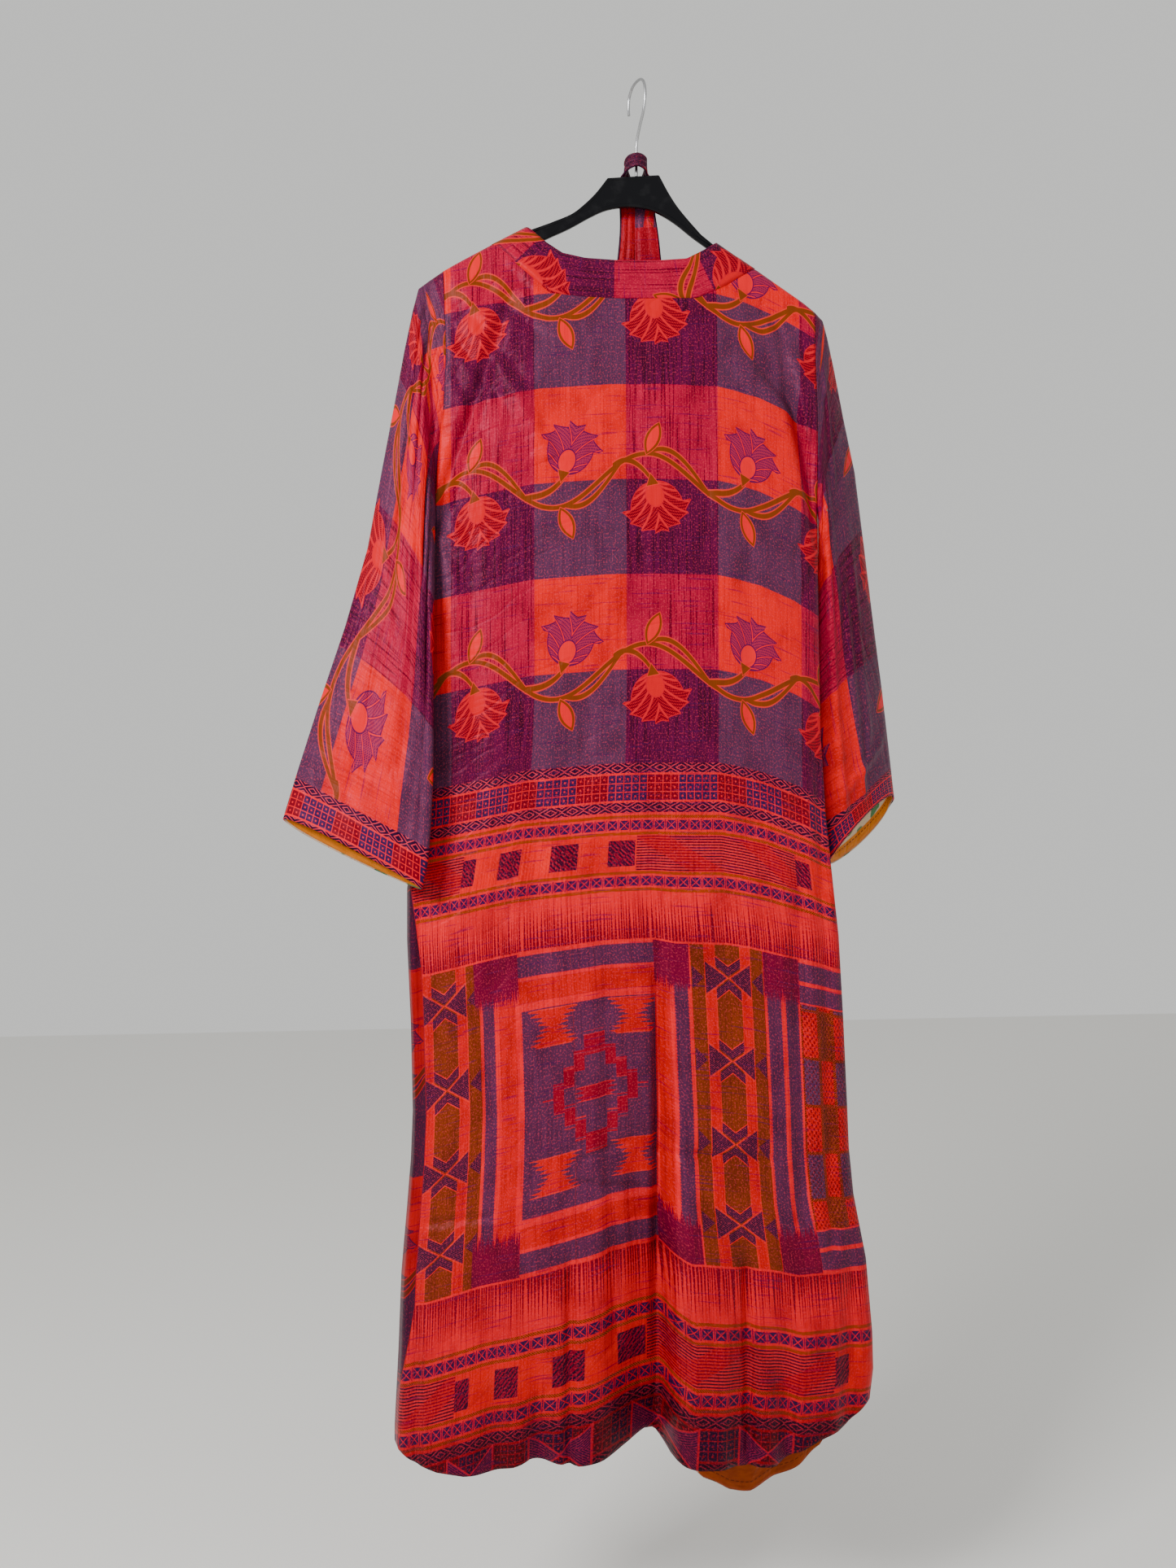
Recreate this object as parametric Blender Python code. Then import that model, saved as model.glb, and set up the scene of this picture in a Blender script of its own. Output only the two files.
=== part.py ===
"""A long printed silk kimono robe, seen from its back, on a moulded hanger.

Frame: metres, +Z up, +X to the viewer's right, the robe's back faces -Y.
The origin is the inside top of the hanger's wire hook, where it hangs.
"""
import math

import bmesh
import bpy
import numpy as np
from mathutils import Vector

CLOTH = 0.002              # shell and lining quilted together by their own weight
BAND_CLOTH = 0.003         # the neck band is folded double
LINING = 0.001             # the thin facing that shows inside the cuffs and the hem
SEAM = 0.0005              # gap left between pieces along a seam
BAND_WIDTH = 0.043         # neck band, seam to free edge
HANGER_THICK = 0.006
HANGER_TOP_GAP = 0.0031    # from the shoulder line down to the hanger's top edge
RIDGE_SEAM = 0.0006        # each shell's edge stays this far from the shoulder line
RIDGE_RADIUS = 0.008       # how tightly the cloth bends over the hanger
EDGE_POWER = 3.2           # how squarely the robe turns round at its sides
WIRE_RADIUS = 0.0015
HOOK_SWIVEL = math.radians(107.0)
BELT_WIDTH = 0.045
BELT_THICK = 0.0025

# The shoulder line, over the hanger from sleeve to sleeve.
SHOULDER = (
    # x, z
    (-0.240, -0.230), (-0.227, -0.222), (-0.198, -0.204), (-0.160, -0.182),
    (-0.120, -0.160), (0.080, -0.168), (0.125, -0.196), (0.178, -0.230),
    (0.195, -0.243), (0.210, -0.256),
)

# Both side outlines of the body, from the shoulder down to the hem.
OUTLINE = (
    # z, left x, right x
    (-0.200, -0.212, 0.191), (-0.300, -0.209, 0.191), (-0.360, -0.212, 0.193),
    (-0.450, -0.219, 0.195), (-0.600, -0.221, 0.197), (-0.700, -0.224, 0.199),
    (-0.790, -0.234, 0.205), (-0.865, -0.249, 0.213), (-0.920, -0.249, 0.219),
    (-1.010, -0.245, 0.224), (-1.100, -0.243, 0.228), (-1.150, -0.245, 0.230),
    (-1.200, -0.249, 0.235), (-1.270, -0.255, 0.249), (-1.350, -0.258, 0.256),
    (-1.390, -0.260, 0.257), (-1.430, -0.262, 0.252), (-1.540, -0.263, 0.246),
)

# Half of the robe's depth, by the drop below the shoulder line.
DEPTH = (
    # drop, back, front
    (0.000, 0.008, 0.008), (0.030, 0.013, 0.012), (0.080, 0.020, 0.016),
    (0.200, 0.026, 0.020), (0.500, 0.032, 0.026), (0.800, 0.037, 0.032),
    (1.050, 0.042, 0.038), (1.250, 0.046, 0.042), (1.400, 0.048, 0.044),
)

# Where the back panel's upper edge leaves the shoulder line for the neck seam.
NECK_SEAM = (
    # x, z, free-edge x, free-edge z
    (-0.160, -0.182, -0.124, -0.162), (-0.128, -0.211, -0.103, -0.180),
    (-0.100, -0.236, -0.086, -0.191), (-0.070, -0.2385, -0.062, -0.1955),
    (-0.029, -0.239, -0.028, -0.1965), (0.020, -0.237, 0.018, -0.1945),
    (0.058, -0.235, 0.048, -0.191), (0.090, -0.219, 0.066, -0.181),
    (0.125, -0.196, 0.083, -0.170),
)

# The front edges' seams, by the drop from where they leave the shoulder line.
FRONT_SEAM = (
    # drop, left seam x, right seam x
    (0.000, -0.160, 0.125), (0.014, -0.156, 0.122), (0.053, -0.146, 0.115),
    (0.118, -0.130, 0.102), (0.198, -0.111, 0.087), (0.298, -0.086, 0.071),
    (0.408, -0.065, 0.059), (0.538, -0.055, 0.053), (0.818, -0.054, 0.052),
    (1.400, -0.054, 0.052),
)

HEM_BACK = (
    # x, z
    (-0.264, -1.444), (-0.245, -1.458), (-0.217, -1.468), (-0.189, -1.472),
    (-0.163, -1.470), (-0.137, -1.464), (-0.119, -1.457), (-0.094, -1.460),
    (-0.070, -1.463), (-0.041, -1.460), (-0.012, -1.453), (0.007, -1.446),
    (0.018, -1.447), (0.034, -1.464), (0.048, -1.472), (0.110, -1.477),
    (0.147, -1.479), (0.173, -1.465), (0.195, -1.455), (0.225, -1.446),
    (0.240, -1.434), (0.258, -1.418),
)

HEM_FRONT = (
    # x, z
    (-0.264, -1.446), (-0.230, -1.468), (-0.180, -1.480), (-0.100, -1.476),
    (-0.010, -1.464), (0.010, -1.462), (0.040, -1.484), (0.056, -1.506), (0.078, -1.526),
    (0.107, -1.537), (0.132, -1.537), (0.168, -1.524), (0.190, -1.511),
    (0.214, -1.492), (0.236, -1.452), (0.258, -1.420),
)

# Large folds of the hanging cloth. Depth is inwards, so a negative one is a crest.
BACK_FOLDS = (
    # top x, top z, low x, low z, width left, width right, depth at top, depth at low end
    (0.010, -0.860, 0.016, -1.480, 0.075, 0.022, 0.002, 0.044),
    (0.050, -1.000, 0.062, -1.480, 0.030, 0.060, 0.000, -0.008),
    (-0.080, -1.150, -0.070, -1.480, 0.050, 0.050, 0.000, -0.006),
    (-0.045, -0.930, -0.036, -1.230, 0.014, 0.014, 0.003, 0.004),
    (0.166, -0.720, 0.170, -1.080, 0.018, 0.014, 0.003, 0.006),
    (0.195, -0.760, 0.202, -1.120, 0.012, 0.012, 0.002, 0.005),
    (0.104, -1.250, 0.098, -1.480, 0.022, 0.022, 0.001, 0.008),
    (0.150, -1.270, 0.152, -1.480, 0.022, 0.018, 0.002, 0.010),
    (0.226, -1.230, 0.222, -1.440, 0.018, 0.018, 0.003, 0.007),
    (-0.165, -1.280, -0.160, -1.470, 0.026, 0.024, 0.001, 0.008),
    (-0.118, -1.300, -0.112, -1.460, 0.022, 0.022, 0.001, 0.010),
    (-0.234, -0.850, -0.240, -1.330, 0.012, 0.010, 0.010, 0.004),
    (-0.196, -0.225, -0.128, -0.360, 0.018, 0.018, -0.003, -0.004),
    (0.118, -0.240, 0.186, -0.400, 0.018, 0.018, 0.004, 0.004),
)

FRONT_FOLDS = (
    # top x, top z, low x, low z, width left, width right, depth at top, depth at low end
    (-0.150, -0.850, -0.158, -1.480, 0.040, 0.032, 0.002, 0.016),
    (-0.105, -1.050, -0.110, -1.480, 0.026, 0.026, 0.001, 0.008),
    (0.115, -0.900, 0.122, -1.520, 0.036, 0.040, 0.002, 0.014),
    (0.170, -1.050, 0.178, -1.500, 0.024, 0.024, 0.001, 0.009),
    (-0.180, -0.260, -0.150, -0.420, 0.020, 0.020, 0.003, 0.004),
    (0.165, -0.280, 0.135, -0.430, 0.020, 0.020, 0.003, 0.004),
)

# Each sleeve is a flat tube: every row is one section, from its fold to its underarm edge.
LEFT_SLEEVE = (
    # fold x, fold y, fold z, underarm x, underarm y, underarm z, half depth
    (-0.226, 0.000, -0.223, -0.223, -0.003, -0.462, 0.010),
    (-0.237, -0.001, -0.232, -0.225, -0.010, -0.482, 0.011),
    (-0.243, -0.003, -0.256, -0.227, -0.020, -0.515, 0.011),
    (-0.252, -0.004, -0.300, -0.228, -0.029, -0.555, 0.011),
    (-0.262, -0.005, -0.355, -0.228, -0.037, -0.600, 0.011),
    (-0.276, -0.006, -0.430, -0.228, -0.043, -0.650, 0.011),
    (-0.290, -0.007, -0.508, -0.227, -0.047, -0.700, 0.011),
    (-0.313, -0.008, -0.590, -0.226, -0.050, -0.748, 0.011),
    (-0.340, -0.010, -0.672, -0.226, -0.053, -0.792, 0.011),
    (-0.362, -0.010, -0.742, -0.229, -0.055, -0.832, 0.011),
    (-0.379, -0.010, -0.799, -0.236, -0.056, -0.866, 0.012),
)

RIGHT_SLEEVE = (
    # fold x, fold y, fold z, underarm x, underarm y, underarm z, half depth
    (0.201, 0.002, -0.248, 0.200, 0.001, -0.466, 0.009),
    (0.207, 0.006, -0.264, 0.204, 0.004, -0.486, 0.010),
    (0.217, 0.014, -0.296, 0.208, 0.006, -0.515, 0.011),
    (0.231, 0.026, -0.346, 0.211, 0.007, -0.553, 0.012),
    (0.248, 0.038, -0.405, 0.213, 0.007, -0.600, 0.013),
    (0.262, 0.050, -0.484, 0.215, 0.007, -0.652, 0.014),
    (0.275, 0.060, -0.565, 0.217, 0.006, -0.702, 0.015),
    (0.289, 0.069, -0.650, 0.220, 0.004, -0.752, 0.015),
    (0.300, 0.076, -0.728, 0.225, 0.002, -0.804, 0.015),
    (0.309, 0.081, -0.797, 0.231, 0.000, -0.852, 0.016),
)

ARMHOLE_LOW = {"left": -0.448, "right": -0.450}
CUFF_STEP = {"left": 0.22, "right": 0.42}    # how far the near layer's edge rides up
LINING_ROWS = 1.35                           # sleeve rows that the cuff facing covers

HANGER_UPPER = (
    # x, z
    (-0.036, -0.104), (-0.049, -0.121), (-0.063, -0.135), (-0.076, -0.145), (-0.098, -0.155),
)
HANGER_UPPER_RIGHT = (
    # x, z
    (0.020, -0.098), (0.030, -0.116), (0.040, -0.131), (0.052, -0.145), (0.066, -0.160),
)
HANGER_LOWER = (
    # x, z
    (-0.200, -0.224), (-0.160, -0.203), (-0.105, -0.174), (-0.077, -0.160), (-0.055, -0.147),
    (-0.036, -0.138), (-0.013, -0.134), (0.010, -0.136), (0.025, -0.142), (0.040, -0.151),
    (0.056, -0.163), (0.074, -0.175), (0.125, -0.209), (0.184, -0.246),
)

HOOK_WIRE = (
    # along the hook's plane, z
    (0.000, -0.0998), (0.000, -0.078), (-0.001, -0.064), (-0.008, -0.050), (-0.017, -0.037),
    (-0.0215, -0.022), (-0.0195, -0.0085), (-0.012, -0.0005), (0.000, 0.0016),
    (0.011, -0.001), (0.018, -0.009), (0.0195, -0.020), (0.0185, -0.027),
)
HOOK_FOOT = (-0.0045, 0.0)

# The belt's route: up one half, round the foot of the hook, down the other half.
BELT_ROUTE = (
    # x, y, z, width, thickness, twist in degrees
    (-0.043, 0.057, -1.040, 1.00, 1.0, 0.0), (-0.041, 0.057, -0.900, 1.00, 1.0, 2.0),
    (-0.038, 0.055, -0.750, 1.00, 1.0, -2.0), (-0.035, 0.052, -0.600, 1.00, 1.0, 2.0),
    (-0.032, 0.044, -0.450, 1.00, 1.0, -2.0), (-0.029, 0.033, -0.330, 0.95, 1.0, 2.0),
    (-0.026, 0.022, -0.230, 0.80, 1.0, 4.0), (-0.022, 0.014, -0.165, 0.62, 1.2, 10.0),
    (-0.019, 0.0140, -0.125, 0.44, 1.6, 24.0), (-0.0165, 0.0125, -0.101, 0.36, 1.7, 55.0),
    (-0.0150, 0.0035, -0.090, 0.34, 1.6, 86.0), (-0.0125, -0.0040, -0.087, 0.32, 1.6, 90.0),
    (-0.0045, -0.0085, -0.0855, 0.30, 1.6, 90.0), (0.0035, -0.0040, -0.087, 0.32, 1.6, 90.0),
    (0.0060, 0.0035, -0.090, 0.34, 1.6, 94.0), (0.0085, 0.0125, -0.101, 0.36, 1.7, 125.0),
    (0.012, 0.0140, -0.125, 0.44, 1.6, 156.0), (0.016, 0.014, -0.165, 0.62, 1.2, 170.0),
    (0.020, 0.022, -0.230, 0.80, 1.0, 176.0), (0.022, 0.033, -0.330, 0.95, 1.0, 178.0),
    (0.024, 0.044, -0.450, 1.00, 1.0, 182.0), (0.025, 0.052, -0.600, 1.00, 1.0, 178.0),
    (0.027, 0.055, -0.750, 1.00, 1.0, 182.0), (0.029, 0.057, -0.900, 1.00, 1.0, 178.0),
    (0.030, 0.057, -1.010, 1.00, 1.0, 180.0),
)

# How far each row of the body lies below its upper edge; the first ones bend over the hanger.
RIDGE_ROWS = (0.0, 0.0008, 0.0030, 0.0080, 0.0200)
BODY_ROWS = 24
BACK_COLUMNS = (
    # x at the upper edge, columns before the next one
    (-0.2115, 1), (-0.2102, 1), (-0.2065, 1), (-0.1980, 2), (-0.1600, 1), (-0.1580, 1),
    (-0.1545, 1), (-0.1460, 2), (-0.1280, 1), (-0.1000, 2), (-0.0700, 3), (-0.0290, 3),
    (-0.0050, 6), (0.0200, 3), (0.0580, 2), (0.0900, 1), (0.1094, 1), (0.1187, 1),
    (0.1227, 1), (0.1250, 2), (0.1500, 2), (0.1780, 1), (0.1860, 1), (0.1893, 1),
    (0.1905, 0),
)
FRONT_COLUMNS = 13
FRONT_CROWDING = 1.45      # draws the front's columns towards its side seam
BAND_COLUMNS = 3
SLEEVE_SIDE_POINTS = 9


def lookup(table, key, column, key_column=0):
    """One column of a table at a key, straight between its rows."""
    keys = [row[key_column] for row in table]
    values = [row[column] for row in table]
    if keys[0] > keys[-1]:
        keys = keys[::-1]
        values = values[::-1]
    return float(np.interp(key, keys, values))


def ease(share):
    """A soft step from 0 to 1."""
    share = min(max(share, 0.0), 1.0)
    return share * share * (3.0 - 2.0 * share)


def shoulder(x):
    return lookup(SHOULDER, x, 1)


def fold_depth(x, z, folds):
    """The sum of the folds that cross this point."""
    total = 0.0
    for top_x, top_z, low_x, low_z, left, right, top_depth, low_depth in folds:
        along = (top_z - z) / (top_z - low_z)
        if not -0.15 < along < 1.4:
            continue
        centre = top_x + (low_x - top_x) * along
        width = left if x < centre else right
        across = abs(x - centre) / width
        if across >= 1.0:
            continue
        bell = 0.5 + 0.5 * math.cos(math.pi * across)
        fade = ease((along + 0.15) / 0.30)
        depth = top_depth + (low_depth - top_depth) * ease(along)
        total += depth * bell * fade
    return total


def armhole_top(side):
    """The height of the armhole's upper end, on the shoulder line."""
    return shoulder(OUTLINE[0][1 if side == "left" else 2])


def armhole_half(drop, side):
    """Half the width of the armhole at a drop below the shoulder, and none below it."""
    length = armhole_top(side) - ARMHOLE_LOW[side]
    share = min(max(drop / length, 0.0), 1.0)
    close = math.sqrt(max(1.0 - max(0.0, (share - 0.45) / 0.55) ** 2, 0.0))
    return ridge_bend(drop) * (1.0 + 0.5 * math.sin(math.pi * share)) * close


def ridge_bend(drop):
    """How far the cloth has come off the hanger's edge after a drop."""
    share = min(max(drop / RIDGE_RADIUS, 0.0), 1.0)
    return RIDGE_RADIUS * math.sqrt(1.0 - (1.0 - share) ** 2)


def body_point(x, z, back):
    """A point of the hanging robe: its depth follows from where it lies in the outline."""
    left_x = lookup(OUTLINE, z, 1)
    right_x = lookup(OUTLINE, z, 2)
    across = (2.0 * x - left_x - right_x) / (right_x - left_x - 2.0 * SEAM)
    across = min(max(across, -1.0), 1.0)
    side = "left" if across < 0.0 else "right"
    drop = shoulder(x) - z
    edge = armhole_half(drop, side)
    body = lookup(DEPTH, max(drop, 0.0), 1 if back else 2)
    body *= ridge_bend(drop) / RIDGE_RADIUS
    crown = (1.0 - abs(across) ** EDGE_POWER) ** (1.0 / EDGE_POWER)
    sewn = min(edge / RIDGE_RADIUS, 1.0)
    crown += (1.0 - across ** 6 - crown) * sewn
    depth = edge + (body - edge) * crown
    folds = BACK_FOLDS if back else FRONT_FOLDS
    calm = min(1.0, (1.0 - abs(across)) / 0.04)
    depth -= fold_depth(x, z, folds) * calm * ease(drop / 0.03)
    return Vector((x, -depth if back else depth, z))


def grid_mesh(name, rows, closed=False):
    """A grid of points as a mesh of quads; closed joins the last column to the first."""
    mesh = bpy.data.meshes.new(name)
    count = len(rows[0])
    points = [point for row in rows for point in row]
    faces = []
    for row in range(len(rows) - 1):
        for column in range(count if closed else count - 1):
            after = (column + 1) % count
            here = row * count
            below = here + count
            faces.append((here + column, here + after, below + after, below + column))
    mesh.from_pydata(points, [], faces)
    mesh.shade_smooth()
    return mesh


def cloth_piece(name, rows, wall, material, closed=False):
    """A sewn piece: the grid is the middle of its wall."""
    mesh = grid_mesh(name, rows, closed)
    mesh.materials.append(material)
    piece = bpy.data.objects.new(name, mesh)
    bpy.context.scene.collection.objects.link(piece)
    solid = piece.modifiers.new("wall", "SOLIDIFY")
    solid.thickness = wall
    solid.offset = 0.0
    solid.use_even_offset = False
    split = piece.modifiers.new("triangles", "TRIANGULATE")
    split.quad_method = "FIXED"
    return piece


def moved_out(rows, distance, closed=False):
    """The same grid, moved along its own normals."""
    grid = np.array([[tuple(point) for point in row] for row in rows])
    if closed:
        across = np.roll(grid, -1, axis=1) - np.roll(grid, 1, axis=1)
    else:
        across = np.gradient(grid, axis=1)
    along = np.gradient(grid, axis=0)
    normal = np.cross(along, across)
    normal /= np.linalg.norm(normal, axis=2, keepdims=True)
    return [[Vector(point) for point in row] for row in grid + normal * distance]


def finish(name, colour, roughness, metallic=0.0):
    """A plain finish with the colour that the piece shows most of."""
    material = bpy.data.materials.new(name)
    material.use_nodes = True
    shader = material.node_tree.nodes["Principled BSDF"]
    shader.inputs["Base Color"].default_value = (*colour, 1.0)
    shader.inputs["Roughness"].default_value = roughness
    shader.inputs["Metallic"].default_value = metallic
    return material


def body_heights(top, low):
    """Heights of the rows from an upper edge to the hem."""
    start = top - RIDGE_ROWS[-1]
    heights = [top - row for row in RIDGE_ROWS[:-1]]
    for row in range(BODY_ROWS + 1):
        heights.append(start + (low - start) * row / BODY_ROWS)
    return heights


def back_top(x):
    """The back panel's upper edge: the shoulder line, or the neck seam between its corners."""
    if NECK_SEAM[0][0] < x < NECK_SEAM[-1][0]:
        return lookup(NECK_SEAM, x, 1)
    return shoulder(x)


def back_column_places():
    """The back panel's columns, as x at its upper edge."""
    places = []
    for (x, count), (after, _) in zip(BACK_COLUMNS, BACK_COLUMNS[1:]):
        places += [x + (after - x) * step / count for step in range(count)]
    return places + [BACK_COLUMNS[-1][0]]


def build_back(material):
    """One panel from the shoulder line and the neck seam to the hem."""
    first = BACK_COLUMNS[0][0]
    width = BACK_COLUMNS[-1][0] - first
    columns = []
    for x_top in back_column_places():
        share = (x_top - first) / width
        shift = 0.0
        x_low = OUTLINE[-3][1] + (OUTLINE[-3][2] - OUTLINE[-3][1]) * share
        column = []
        for z in body_heights(back_top(x_top), lookup(HEM_BACK, x_low, 1)):
            left_x = lookup(OUTLINE, z, 1) + SEAM
            right_x = lookup(OUTLINE, z, 2) - SEAM
            x = left_x + (right_x - left_x) * share
            shift = shift if column else x_top - x
            point = body_point(x + shift, z, True)
            point.y = min(point.y, -RIDGE_SEAM)
            column.append(point)
        columns.append(column)
    return cloth_piece("back_panel", columns, CLOTH, material)


def front_edge(z, side):
    """The seam between a front panel and its band."""
    column = 1 if side == "left" else 2
    top = shoulder(FRONT_SEAM[0][column])
    return lookup(FRONT_SEAM, top - z, column)


def front_heights(side, x_top, x_low):
    """Heights of a front column's rows, from the shoulder line to the hem."""
    return body_heights(shoulder(x_top), lookup(HEM_FRONT, x_low, 1))


def front_rows(side):
    """A front panel's grid, from its side seam to its band seam."""
    outer = 1 if side == "left" else 2
    gap = SEAM if side == "left" else -SEAM
    columns = []
    for step in range(FRONT_COLUMNS + 1):
        share = (step / FRONT_COLUMNS) ** FRONT_CROWDING
        x_top = OUTLINE[0][outer] + (FRONT_SEAM[0][outer] - OUTLINE[0][outer]) * share
        x_low = OUTLINE[-3][outer] + (FRONT_SEAM[-1][outer] - OUTLINE[-3][outer]) * share
        column = []
        for z in front_heights(side, x_top, x_low):
            outer_x = lookup(OUTLINE, z, outer) + gap
            inner_x = lookup(FRONT_SEAM, shoulder(x_top) - z, outer) - gap
            x = outer_x + (inner_x - outer_x) * share
            point = body_point(x, z, False)
            point.y = max(point.y, RIDGE_SEAM)
            column.append(point)
        columns.append(column)
    return columns if side == "right" else columns[::-1]


def over_ridge(start, after, drop):
    """A point between two, where the line has come down from the shoulder by a drop."""
    full = shoulder(after[0]) - after[1]
    share = min(drop / full, 1.0)
    return tuple(a + (b - a) * share for a, b in zip(start, after))


def neck_stations():
    """Seam and free-edge points round the back of the neck, finer where they cross the ridge."""
    seam = [row[:2] for row in NECK_SEAM]
    free = [row[2:] for row in NECK_SEAM]
    left = [(over_ridge(seam[0], seam[1], drop), over_ridge(free[0], free[1], drop))
            for drop in RIDGE_ROWS[:-1]]
    right = [(over_ridge(seam[-1], seam[-2], drop), over_ridge(free[-1], free[-2], drop))
             for drop in RIDGE_ROWS[-2::-1]]
    middle = list(zip(seam, free))[1:-1]
    return [(a, b, True) for a, b in left + middle + right]


def front_station(side, z, drop):
    """Seam and free-edge points of the band on a front."""
    inward = 1.0 if side == "left" else -1.0
    seam_x = front_edge(z, side)
    neck = 1.0 - ease(drop / 0.08)
    slant = 1.0 - ease((drop - 0.25) / 0.30)
    free_x = seam_x + inward * (BAND_WIDTH - 0.007 * neck)
    full = armhole_top(side) - HEM_FRONT[0][1]
    lift = lookup(HEM_FRONT, free_x, 1) - lookup(HEM_FRONT, seam_x, 1)
    free_z = z + 0.010 * slant + 0.010 * neck + lift * (drop / full) ** 6
    return ((seam_x, z), (free_x, free_z), False)


def band_stations():
    """The band's rows, from one hem round the neck to the other."""
    sides = {}
    for side, column in (("left", 1), ("right", 2)):
        x_top = FRONT_SEAM[0][column]
        heights = front_heights(side, x_top, FRONT_SEAM[-1][column])
        sides[side] = [front_station(side, z, heights[0] - z) for z in heights[1:]]
    return sides["left"][::-1] + neck_stations() + sides["right"]


def build_band(material):
    """The neck band, a folded strip that runs from hem to hem round the neck."""
    rows = []
    for seam, free, back in band_stations():
        row = []
        start = Vector((seam[0], 0.0, seam[1]))
        end = Vector((free[0], 0.0, free[1]))
        start += (end - start).normalized() * SEAM
        for step in range(BAND_COLUMNS + 1):
            flat = start.lerp(end, step / BAND_COLUMNS)
            row.append(body_point(flat.x, flat.z, back))
        rows.append(row)
    return cloth_piece("neck_band", rows, BAND_CLOTH, material)


def sleeve_section(row):
    """One ring of a sleeve: down its near layer from the fold, and back up its far layer."""
    fold_x, fold_y, fold_z, under_x, under_y, under_z, half = row
    fold = Vector((fold_x, fold_y, fold_z))
    under = Vector((under_x, under_y, under_z))
    line = under - fold
    out = Vector((0.0, -1.0, 0.0))
    out -= line * (out.dot(line) / line.length_squared)
    out.normalize()
    ring = []
    for step in range(2 * SLEEVE_SIDE_POINTS):
        angle = math.pi * step / SLEEVE_SIDE_POINTS
        share = 0.5 - 0.5 * math.cos(angle)
        swell = abs(math.sin(angle)) ** 0.75
        swell = swell if math.sin(angle) >= 0.0 else -swell
        ring.append(fold + line * share + out * (half * swell))
    return ring


def armhole_section(side):
    """The sleeve's first ring lies along the armhole seam."""
    column = 1 if side == "left" else 2
    gap = -SEAM if side == "left" else SEAM
    top = armhole_top(side)
    low = ARMHOLE_LOW[side] - 0.0015
    ring = []
    for step in range(2 * SLEEVE_SIDE_POINTS):
        angle = math.pi * step / SLEEVE_SIDE_POINTS
        share = 0.5 - 0.5 * math.cos(angle)
        z = top + (low - top) * share
        x = lookup(OUTLINE, z, column) + gap * 3.0
        near = 1.0 if math.sin(angle) >= 0.0 else -1.0
        ring.append(Vector((x, -near * armhole_half(top - z, side), z)))
    return ring


def sleeve_rows(side):
    table = LEFT_SLEEVE if side == "left" else RIGHT_SLEEVE
    rings = [armhole_section(side)] + [sleeve_section(row) for row in table]
    above = rings[-2]
    last = []
    for index, point in enumerate(rings[-1]):
        near = 0.5 + 0.5 * math.sin(math.pi * index / SLEEVE_SIDE_POINTS)
        last.append(point.lerp(above[index], CUFF_STEP[side] * near))
    rings[-1] = last
    return rings


def sleeve_between(rings, place):
    """A ring part of the way between two rings of the sleeve."""
    low = min(int(place), len(rings) - 2)
    part = place - low
    return [a.lerp(b, part) for a, b in zip(rings[low], rings[low + 1])]


def build_sleeve(side, cloth, facing):
    """A sleeve, and the facing that lines its cuff."""
    rings = sleeve_rows(side)
    if side == "right":
        rings = [ring[:1] + ring[:0:-1] for ring in rings]
    cloth_piece(side + "_sleeve", rings, CLOTH, cloth, closed=True)
    start = len(rings) - 1 - LINING_ROWS
    end = len(rings) - 1 - 0.03
    places = [start + (end - start) * step / 3 for step in range(4)]
    inner = [sleeve_between(rings, place) for place in places]
    inner = moved_out(inner, -((CLOTH + LINING) / 2.0 + SEAM), closed=True)
    cloth_piece(side + "_cuff_facing", inner, LINING, facing, closed=True)


def build_hem_facing(facing, columns):
    """The facing inside the right front's hem, seen below the back hem."""
    strip = []
    for column in columns[1:-1]:
        strip.append([column[-2], column[-2].lerp(column[-1], 0.97)])
    strip = moved_out(strip, -((CLOTH + LINING) / 2.0 + 1.5 * SEAM))
    cloth_piece("hem_facing", strip, LINING, facing)


def spline_points(points, steps):
    """A smooth curve through the given points."""
    points = [np.array(point, dtype=float) for point in points]
    padded = [2 * points[0] - points[1]] + points + [2 * points[-1] - points[-2]]
    curve = []
    for index in range(1, len(padded) - 2):
        a, b, c, d = padded[index - 1:index + 3]
        for step in range(steps):
            t = step / steps
            curve.append(0.5 * (2 * b + (c - a) * t + (2 * a - 5 * b + 4 * c - d) * t ** 2
                                + (3 * b - a - 3 * c + d) * t ** 3))
    curve.append(points[-1])
    return curve


def build_belt(material):
    """The belt, one flat strip folded at its middle round the foot of the hook."""
    route = spline_points([row[:3] for row in BELT_ROUTE], 2)
    sizes = spline_points([row[3:] for row in BELT_ROUTE], 2)
    rows = []
    for index, centre in enumerate(route):
        ahead = route[min(index + 1, len(route) - 1)]
        behind = route[max(index - 1, 0)]
        tangent = Vector(ahead - behind).normalized()
        width, thick, twist = sizes[index]
        turn = math.radians(twist)
        across = Vector((math.cos(turn), 0.0, math.sin(turn)))
        across -= tangent * across.dot(tangent)
        across.normalize()
        normal = tangent.cross(across)
        half = BELT_WIDTH * width / 2.0
        depth = BELT_THICK * thick / 2.0
        middle = Vector(centre)
        corners = ((-1, -1), (0, -1.0), (1, -1), (1, 1), (0, 1.0), (-1, 1))
        rows.append([middle + across * (half * a) + normal * (depth * b) for a, b in corners])
    mesh = grid_mesh("belt", rows, closed=True)
    work = bmesh.new()
    work.from_mesh(mesh)
    work.verts.ensure_lookup_table()
    last = len(rows) * 6
    work.faces.new([work.verts[index] for index in range(5, -1, -1)])
    work.faces.new([work.verts[index] for index in range(last - 6, last)])
    bmesh.ops.recalc_face_normals(work, faces=work.faces)
    bmesh.ops.triangulate(work, faces=work.faces)
    work.to_mesh(mesh)
    work.free()
    mesh.materials.append(material)
    belt = bpy.data.objects.new("belt", mesh)
    bpy.context.scene.collection.objects.link(belt)


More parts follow.
